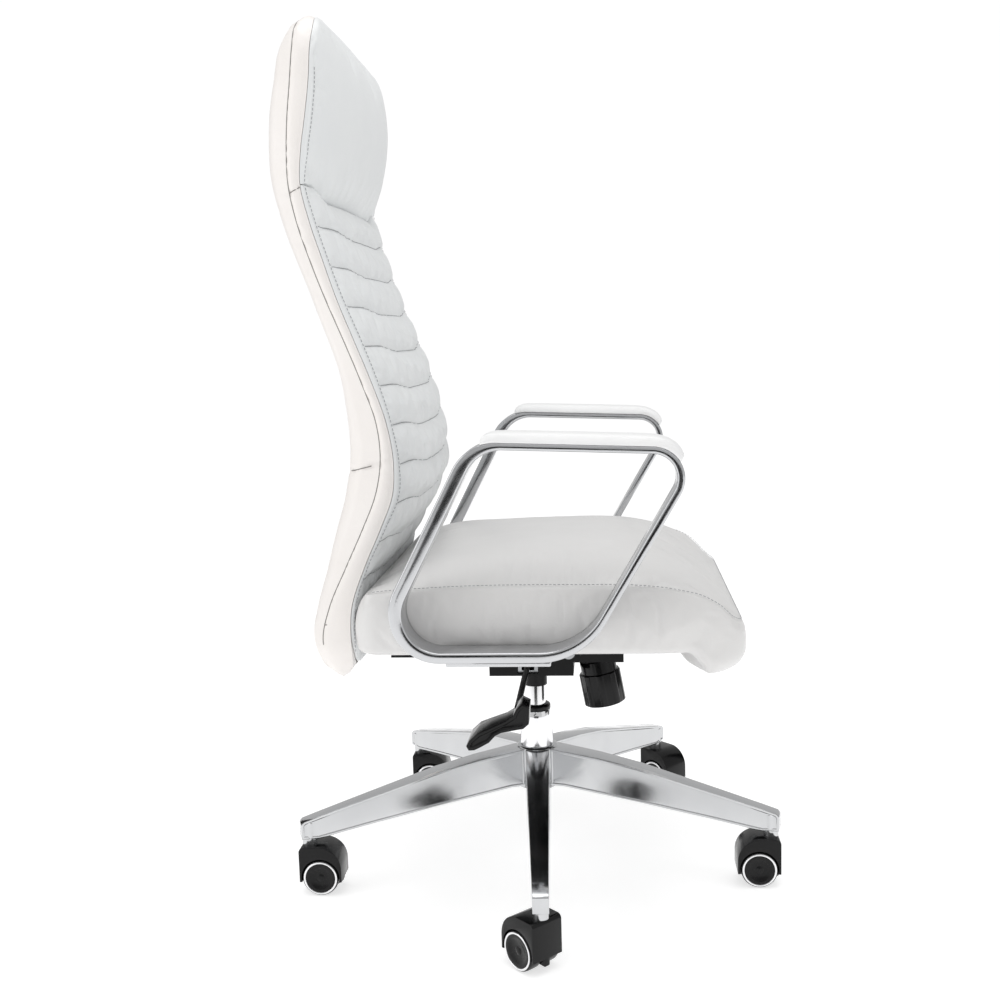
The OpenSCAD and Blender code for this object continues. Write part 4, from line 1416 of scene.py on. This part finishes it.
@dataclass
class Mechanism:
    """The knob and the lever that the sitter uses."""

    knob_at: Triple = (94.0, 0.0, 261.0)
    knob_lean: float = 10.0
    knob_r: float = 28.5
    knob_h: float = 64.0
    lobes: int = 9

    def knob(self) -> Object:
        """Models the tension knob: a drum whose side is pushed in between its grips."""
        deselect()
        bpy.ops.mesh.primitive_cylinder_add(
            vertices=self.lobes * 4, radius=self.knob_r * MM, depth=(self.knob_h - 18) * MM, location=(0, 0, -9 * MM)
        )
        knob = take("tension_knob_grip")
        settle(knob)
        edit(knob, "FACE")
        pick_faces(
            knob,
            lambda c, n: abs(n.z) < 0.1
            and (math.degrees(math.atan2(c.y, c.x)) % (360 / self.lobes)) > 180 / self.lobes,
        )
        bpy.ops.mesh.inset(thickness=0.8 * MM, use_individual=False)
        bpy.ops.transform.shrink_fatten(value=1.1 * MM)
        close_edit()
        edit(knob, "FACE")
        pick_faces(knob, lambda c, n: n.z > 0.9)
        bpy.ops.mesh.inset(thickness=3.0 * MM)
        bpy.ops.mesh.extrude_region_move(TRANSFORM_OT_translate={"value": (0, 0, 18 * MM)})
        close_edit()
        edit(knob, "FACE")
        pick_faces(knob, lambda c, n: n.z < -0.9)
        bpy.ops.mesh.inset(thickness=4.0 * MM)
        bpy.ops.mesh.inset(thickness=1.2 * MM, depth=-1.5 * MM)
        close_edit()
        round_edges(knob, 1.6, 3, 30)
        tilt = Matrix.Translation(Vector(self.knob_at) * MM) @ Matrix.Rotation(math.radians(-self.knob_lean), 4, "Y")
        knob.data.transform(tilt)
        smooth(knob, 40)
        return knob

    def handle(self) -> Object:
        """Models the curved paddle at the end of the height lever."""
        side = [(8, 302), (-1, 307), (-8, 300), (-12, 292), (-22, 286), (-40, 279), (-56, 272), (-66, 263), (-70, 256)]
        side += [(-67, 250.5), (-60, 251), (-52, 255), (-42, 260), (-34, 268)]
        side += [(-27, 271), (-13, 273), (0, 275), (7, 281)]
        handle = slab("lever_handle_grip", side, -272, -222)
        places = points_of(handle)
        x, y = places[:, 0] / MM, places[:, 1] / MM
        near = np.interp(x, [-72, -50, -20, 9], [-271, -272, -264, -262])
        far = np.interp(x, [-72, -50, -34, 9], [-224, -222, -229, -227])
        places[:, 1] = np.where(y < -247, near, far) * MM
        put_points(handle, places)
        edit(handle, "FACE")
        pick_faces(handle, lambda c, n: n.y < -0.8)
        bpy.ops.mesh.inset(thickness=4.0 * MM, use_individual=True)
        bpy.ops.mesh.inset(thickness=1.0 * MM, depth=-1.2 * MM, use_individual=True)
        close_edit()
        round_edges(handle, 2.2, 3, 30)
        smooth(handle, 45)
        return handle

    def build(self) -> None:
        """Builds and dresses the mechanism's own pieces."""
        finish_piece(self.knob(), NYLON, "tension_adjuster", ["tension_knob"])
        finish_piece(self.handle(), NYLON, "lever", ["lever_handle"])


# ---- Casters ----


@dataclass
class Casters:
    """Five twin-wheel casters: a domed hood, turned wheels, and a plated ring on each wheel."""

    headings: tuple[float, ...] = (135.0, 180.0, -45.0, 0.0, 0.0)
    trail: float = 18.0
    wheel_r: float = 25.0
    wheel_w: float = 19.0
    web: float = 7.0
    gap: float = 1.0
    ring_r: float = 23.0
    ring_w: float = 2.4
    hood_w: float = 46.0
    hood_top: float = 67.4
    cavity_r: float = 26.2

    def heading(self, index: int) -> Matrix:
        """Where caster number index stands, turned its own way."""
        leg = leg_angle(index - 1)
        stem = Vector((math.cos(leg), math.sin(leg), 0)) * STEM_R * MM
        return Matrix.Translation(stem) @ Matrix.Rotation(math.radians(self.headings[index - 1]), 4, "Z")

    def place(self, index: int, side: Side) -> Matrix:
        """Where one wheel goes.

        Args:
            index: The caster's number, from 1.
            side: Which wheel.

        Returns:
            The move from a wheel lying on the XY plane.
        """
        reach = Vector((self.trail, side.value * (self.web / 2 + self.gap), self.wheel_r)) * MM
        return self.heading(index) @ Matrix.Translation(reach) @ Matrix.Rotation(side.value * -math.pi / 2, 4, "X")

    def hood(self) -> Object:
        """Models the hood: a domed fender over both wheels, and the wall between them that takes the stem."""
        top, rear, front, sill = self.hood_top, -11.0, 47.0, self.wheel_r - 6
        dome = rounded([(rear, sill), (rear, top), (front, top), (front, sill)], [0.4, 6, 30, 0.4], 16)
        start = math.asin((sill - self.wheel_r) / self.cavity_r)
        angles = np.linspace(start, math.pi - start, 36)
        x, z = self.trail + self.cavity_r * np.cos(angles), self.wheel_r + self.cavity_r * np.sin(angles)
        half = self.hood_w / 2
        fender = slab("hood", dome + [(float(u), float(v)) for u, v in zip(x, z)], -half, half)
        round_edges(fender, 1.5, 3, 40)
        outline = rounded(
            [(rear + 0.5, 8), (rear + 0.5, top - 1), (front - 1, top - 1), (front - 1, 14), (38, 8)],
            [3, 6, 30, 6, 3],
            16,
        )
        wall = slab("hood_wall", outline, -self.web / 2, self.web / 2)
        round_edges(wall, 0.8, 2, 40)
        made = join("hood", [fender, wall])
        smooth(made, 35)
        return made

    def wheel(self) -> Object:
        """Models a wheel with its crowned tread, ring groove and dished cap."""
        r, w, g = self.wheel_r, self.wheel_w, self.ring_r
        profile = [(4.1, 0), (r - 3, 0), (r - 1.2, 0.7), (r - 0.2, 2.2), (r, 5), (r, w - 5), (r - 0.3, w - 2.2)]
        profile += [(r - 1.0, w - 0.7), (g, w - 0.1), (g, w - 1.5)]
        profile += [(g - self.ring_w, w - 1.5), (g - self.ring_w, w - 0.2)]
        profile += [(g - 3.4, w), (15, w - 0.5), (13.5, w - 1.6), (5.5, w - 1.9), (4.5, w - 1.1), (0, w - 0.8)]
        wheel = turned("wheel", [(0, 17), (4.1, 17)] + profile, 64)
        smooth(wheel, 35)
        return wheel

    def ring(self) -> Object:
        """Models the plated ring that is pressed into the wheel."""
        w, g, t = self.wheel_w, self.ring_r, self.ring_w
        profile = [(g - t, w - 1.5), (g, w - 1.5), (g, w + 0.1), (g - 0.5, w + 0.5)]
        profile += [(g - t + 0.5, w + 0.5), (g - t, w + 0.1), (g - t, w - 1.5)]
        ring = turned("ring", profile, 64)
        smooth(ring, 50)
        return ring

    def build(self) -> None:
        """Builds and dresses the hoods, wheels and rings."""
        wheel, ring, hood = self.wheel(), self.ring(), self.hood()
        for index in range(1, LEGS + 1):
            cover = twin(hood, f"caster_{index}_hood", self.heading(index))
            finish_piece(cover, NYLON, f"caster_{index}", [f"caster_{index}_housing"])
            for side in Side:
                where = self.place(index, side)
                body = f"caster_{index}_{side.word}_wheel"
                tyre = twin(wheel, f"caster_{index}_{side.word}_tyre", where)
                rim = twin(ring, f"caster_{index}_{side.word}_rim", where)
                finish_piece(tyre, WHEEL_NYLON, body, [f"caster_{index}_wheel_{side.word}"])
                finish_piece(rim, CHROME, body, [f"caster_{index}_ring_{side.word}"])
        for first in (wheel, ring, hood):
            bpy.data.objects.remove(first)


# ---- Carried-over frame pieces ----


@dataclass
class FramePieces:
    """CAD nodes whose shape is right: they get a finish, and those listed in softened also get softened edges."""

    finishes: tuple[tuple[Finish, tuple[str, ...]], ...] = (
        (CHROME, ("piston_rod",)),
        (ZINC, ("thrust_bearing", "retaining_clip", "tilt_axle", "tension_spring", "tension_bolt")),
        (ZINC, ("lock_slider", "screws", *(f"caster_{index}_pins" for index in range(1, LEGS + 1)))),
        (POWDER_COAT, ("mechanism_housing", "lever_rod", "seat_plate", "back_bracket")),
        (BRASS, ("valve_button",)),
        (BEECH, ("seat_pan", "back_shell")),
        (UNDER_COVER, ("bottom_cover",)),
    )
    softened: tuple[str, ...] = ("mechanism_housing", "seat_plate", "back_bracket", "bottom_cover")

    def build(self) -> None:
        """Dresses the nodes."""
        for finish, name in ((finish, name) for finish, names in self.finishes for name in names):
            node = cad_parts[name]
            for slot in node.material_slots:
                slot.material = finish.material()
            if name in self.softened:
                weld = node.modifiers.new("Weld", "WELD")
                weld.merge_threshold = 0.02 * MM
                bevel = node.modifiers.new("Bevel", "BEVEL")
                bevel.width = 0.8 * MM
                bevel.segments = 2
                bevel.limit_method = "ANGLE"
                bevel.angle_limit = math.radians(40)
            log.info("%s: %s", name, finish.name)


# ---- Studio ----


@dataclass
class Studio:
    """Plain pale floor, soft light, and the camera."""

    eye: Triple = (0.108, -1.705, 0.753)
    down: float = 7.66
    yaw: float = -5.09
    roll: float = -1.63
    lens: float = 44.06

    def camera(self) -> None:
        """Places the camera."""
        data = bpy.data.cameras.new("camera")
        data.lens = self.lens
        data.sensor_width = 36
        data.clip_end = 60
        shot = bpy.data.objects.new("camera", data)
        bpy.context.scene.collection.objects.link(shot)
        down, yaw, roll = (math.radians(v) for v in (self.down, self.yaw, self.roll))
        ahead = Vector((math.sin(yaw) * math.cos(down), math.cos(yaw) * math.cos(down), -math.sin(down)))
        right = Vector((math.cos(yaw), -math.sin(yaw), 0))
        up = right.cross(ahead)
        x = right * math.cos(roll) + up * math.sin(roll)
        y = -right * math.sin(roll) + up * math.cos(roll)
        shot.matrix_world = Matrix.Translation(self.eye) @ Matrix((x, y, -ahead)).transposed().to_4x4()
        bpy.context.scene.camera = shot

    def floor(self) -> None:
        """Lays a pale floor."""
        deselect()
        bpy.ops.mesh.primitive_plane_add(size=14, location=(0, 0, -0.5 * MM))
        floor = take("studio_floor")
        settle(floor)
        paint = Moulded("pale_studio_floor", "#CFCFCF", "#CBCBCB", 0.9, 0.02, 400, texture_mm=30).material()
        shader = next(n for n in paint.node_tree.nodes if n.type == "BSDF_PRINCIPLED")
        shader.inputs["Emission Color"].default_value = linear("#FFFFFF")
        shader.inputs["Emission Strength"].default_value = 0.66
        floor.data.materials.append(paint)

    def card(self, name: str, size: Pair, at: Triple, aim: Triple) -> None:
        """Hangs a dark card that only reflections see, so that bright metal gets its dark streaks."""
        deselect()
        bpy.ops.mesh.primitive_plane_add(size=1)
        card = take(name)
        card.scale = (size[0], size[1], 1)
        card.rotation_euler = (Vector(aim) - Vector(at)).to_track_quat("Z", "Y").to_euler()
        card.location = at
        settle(card)
        card.data.materials.append(Moulded("black_flag_cloth", "#050505", "#080808", 0.95, 0.02, 50).material())
        card.visible_camera = False
        card.visible_diffuse = False
        card.visible_shadow = False
        card.visible_transmission = False

    def light(self, name: str, watts: float, size: Pair, at: Triple, aim: Triple) -> None:
        """Adds a soft box that points at a place."""
        data = bpy.data.lights.new(name, "AREA")
        data.shape = "RECTANGLE"
        data.size, data.size_y = size
        data.energy = watts
        box = bpy.data.objects.new(name, data)
        box.location = at
        box.rotation_euler = (Vector(at) - Vector(aim)).to_track_quat("Z", "Y").to_euler()
        bpy.context.scene.collection.objects.link(box)

    def build(self) -> None:
        """Sets the studio up."""
        scene = bpy.context.scene
        scene.view_settings.view_transform = "Standard"
        world = bpy.data.worlds.new("pale_room")
        world.use_nodes = True
        tree = world.node_tree
        tree.nodes.clear()
        seen = add_node(tree, "ShaderNodeBackground", None, {"Color": linear("#FFFFFF"), "Strength": 1.02})
        given = add_node(tree, "ShaderNodeBackground", None, {"Color": linear("#FFFFFF"), "Strength": 0.6})
        path = add_node(tree, "ShaderNodeLightPath")
        both = add_node(
            tree,
            "ShaderNodeMixShader",
            None,
            {0: path.outputs["Is Camera Ray"], 1: given.outputs[0], 2: seen.outputs[0]},
        )
        add_node(tree, "ShaderNodeOutputWorld", None, {"Surface": both.outputs[0]})
        scene.world = world
        middle = (0.0, 0.0, 0.6)
        self.light("overhead_box", 30, (2.4, 2.4), (0.1, -0.2, 2.9), middle)
        self.light("rear_side_box", 11, (1.6, 2.0), (-2.2, -1.2, 1.3), middle)
        self.light("front_side_box", 2, (1.4, 2.0), (2.3, -1.3, 1.2), middle)
        self.card("dark_card_front", (0.5, 2.4), (1.9, 0.9, 0.8), middle)
        self.card("dark_card_rear", (0.5, 2.4), (-1.7, 1.2, 0.8), middle)
        self.card("dark_card_camera", (1.6, 0.7), (0.1, -2.6, 0.15), middle)
        self.camera()
        self.floor()


def main() -> None:
    """Builds the chair and its studio."""
    logging.basicConfig(level=logging.INFO, format="%(name)s: %(message)s")
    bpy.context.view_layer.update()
    FramePieces().build()
    StarBase().build()
    Column().build()
    Casters().build()
    Mechanism().build()
    for side in Side:
        Arm(side).build()
    Seat().build()
    Back().build()
    Studio().build()


if __name__ == "__main__":
    main()
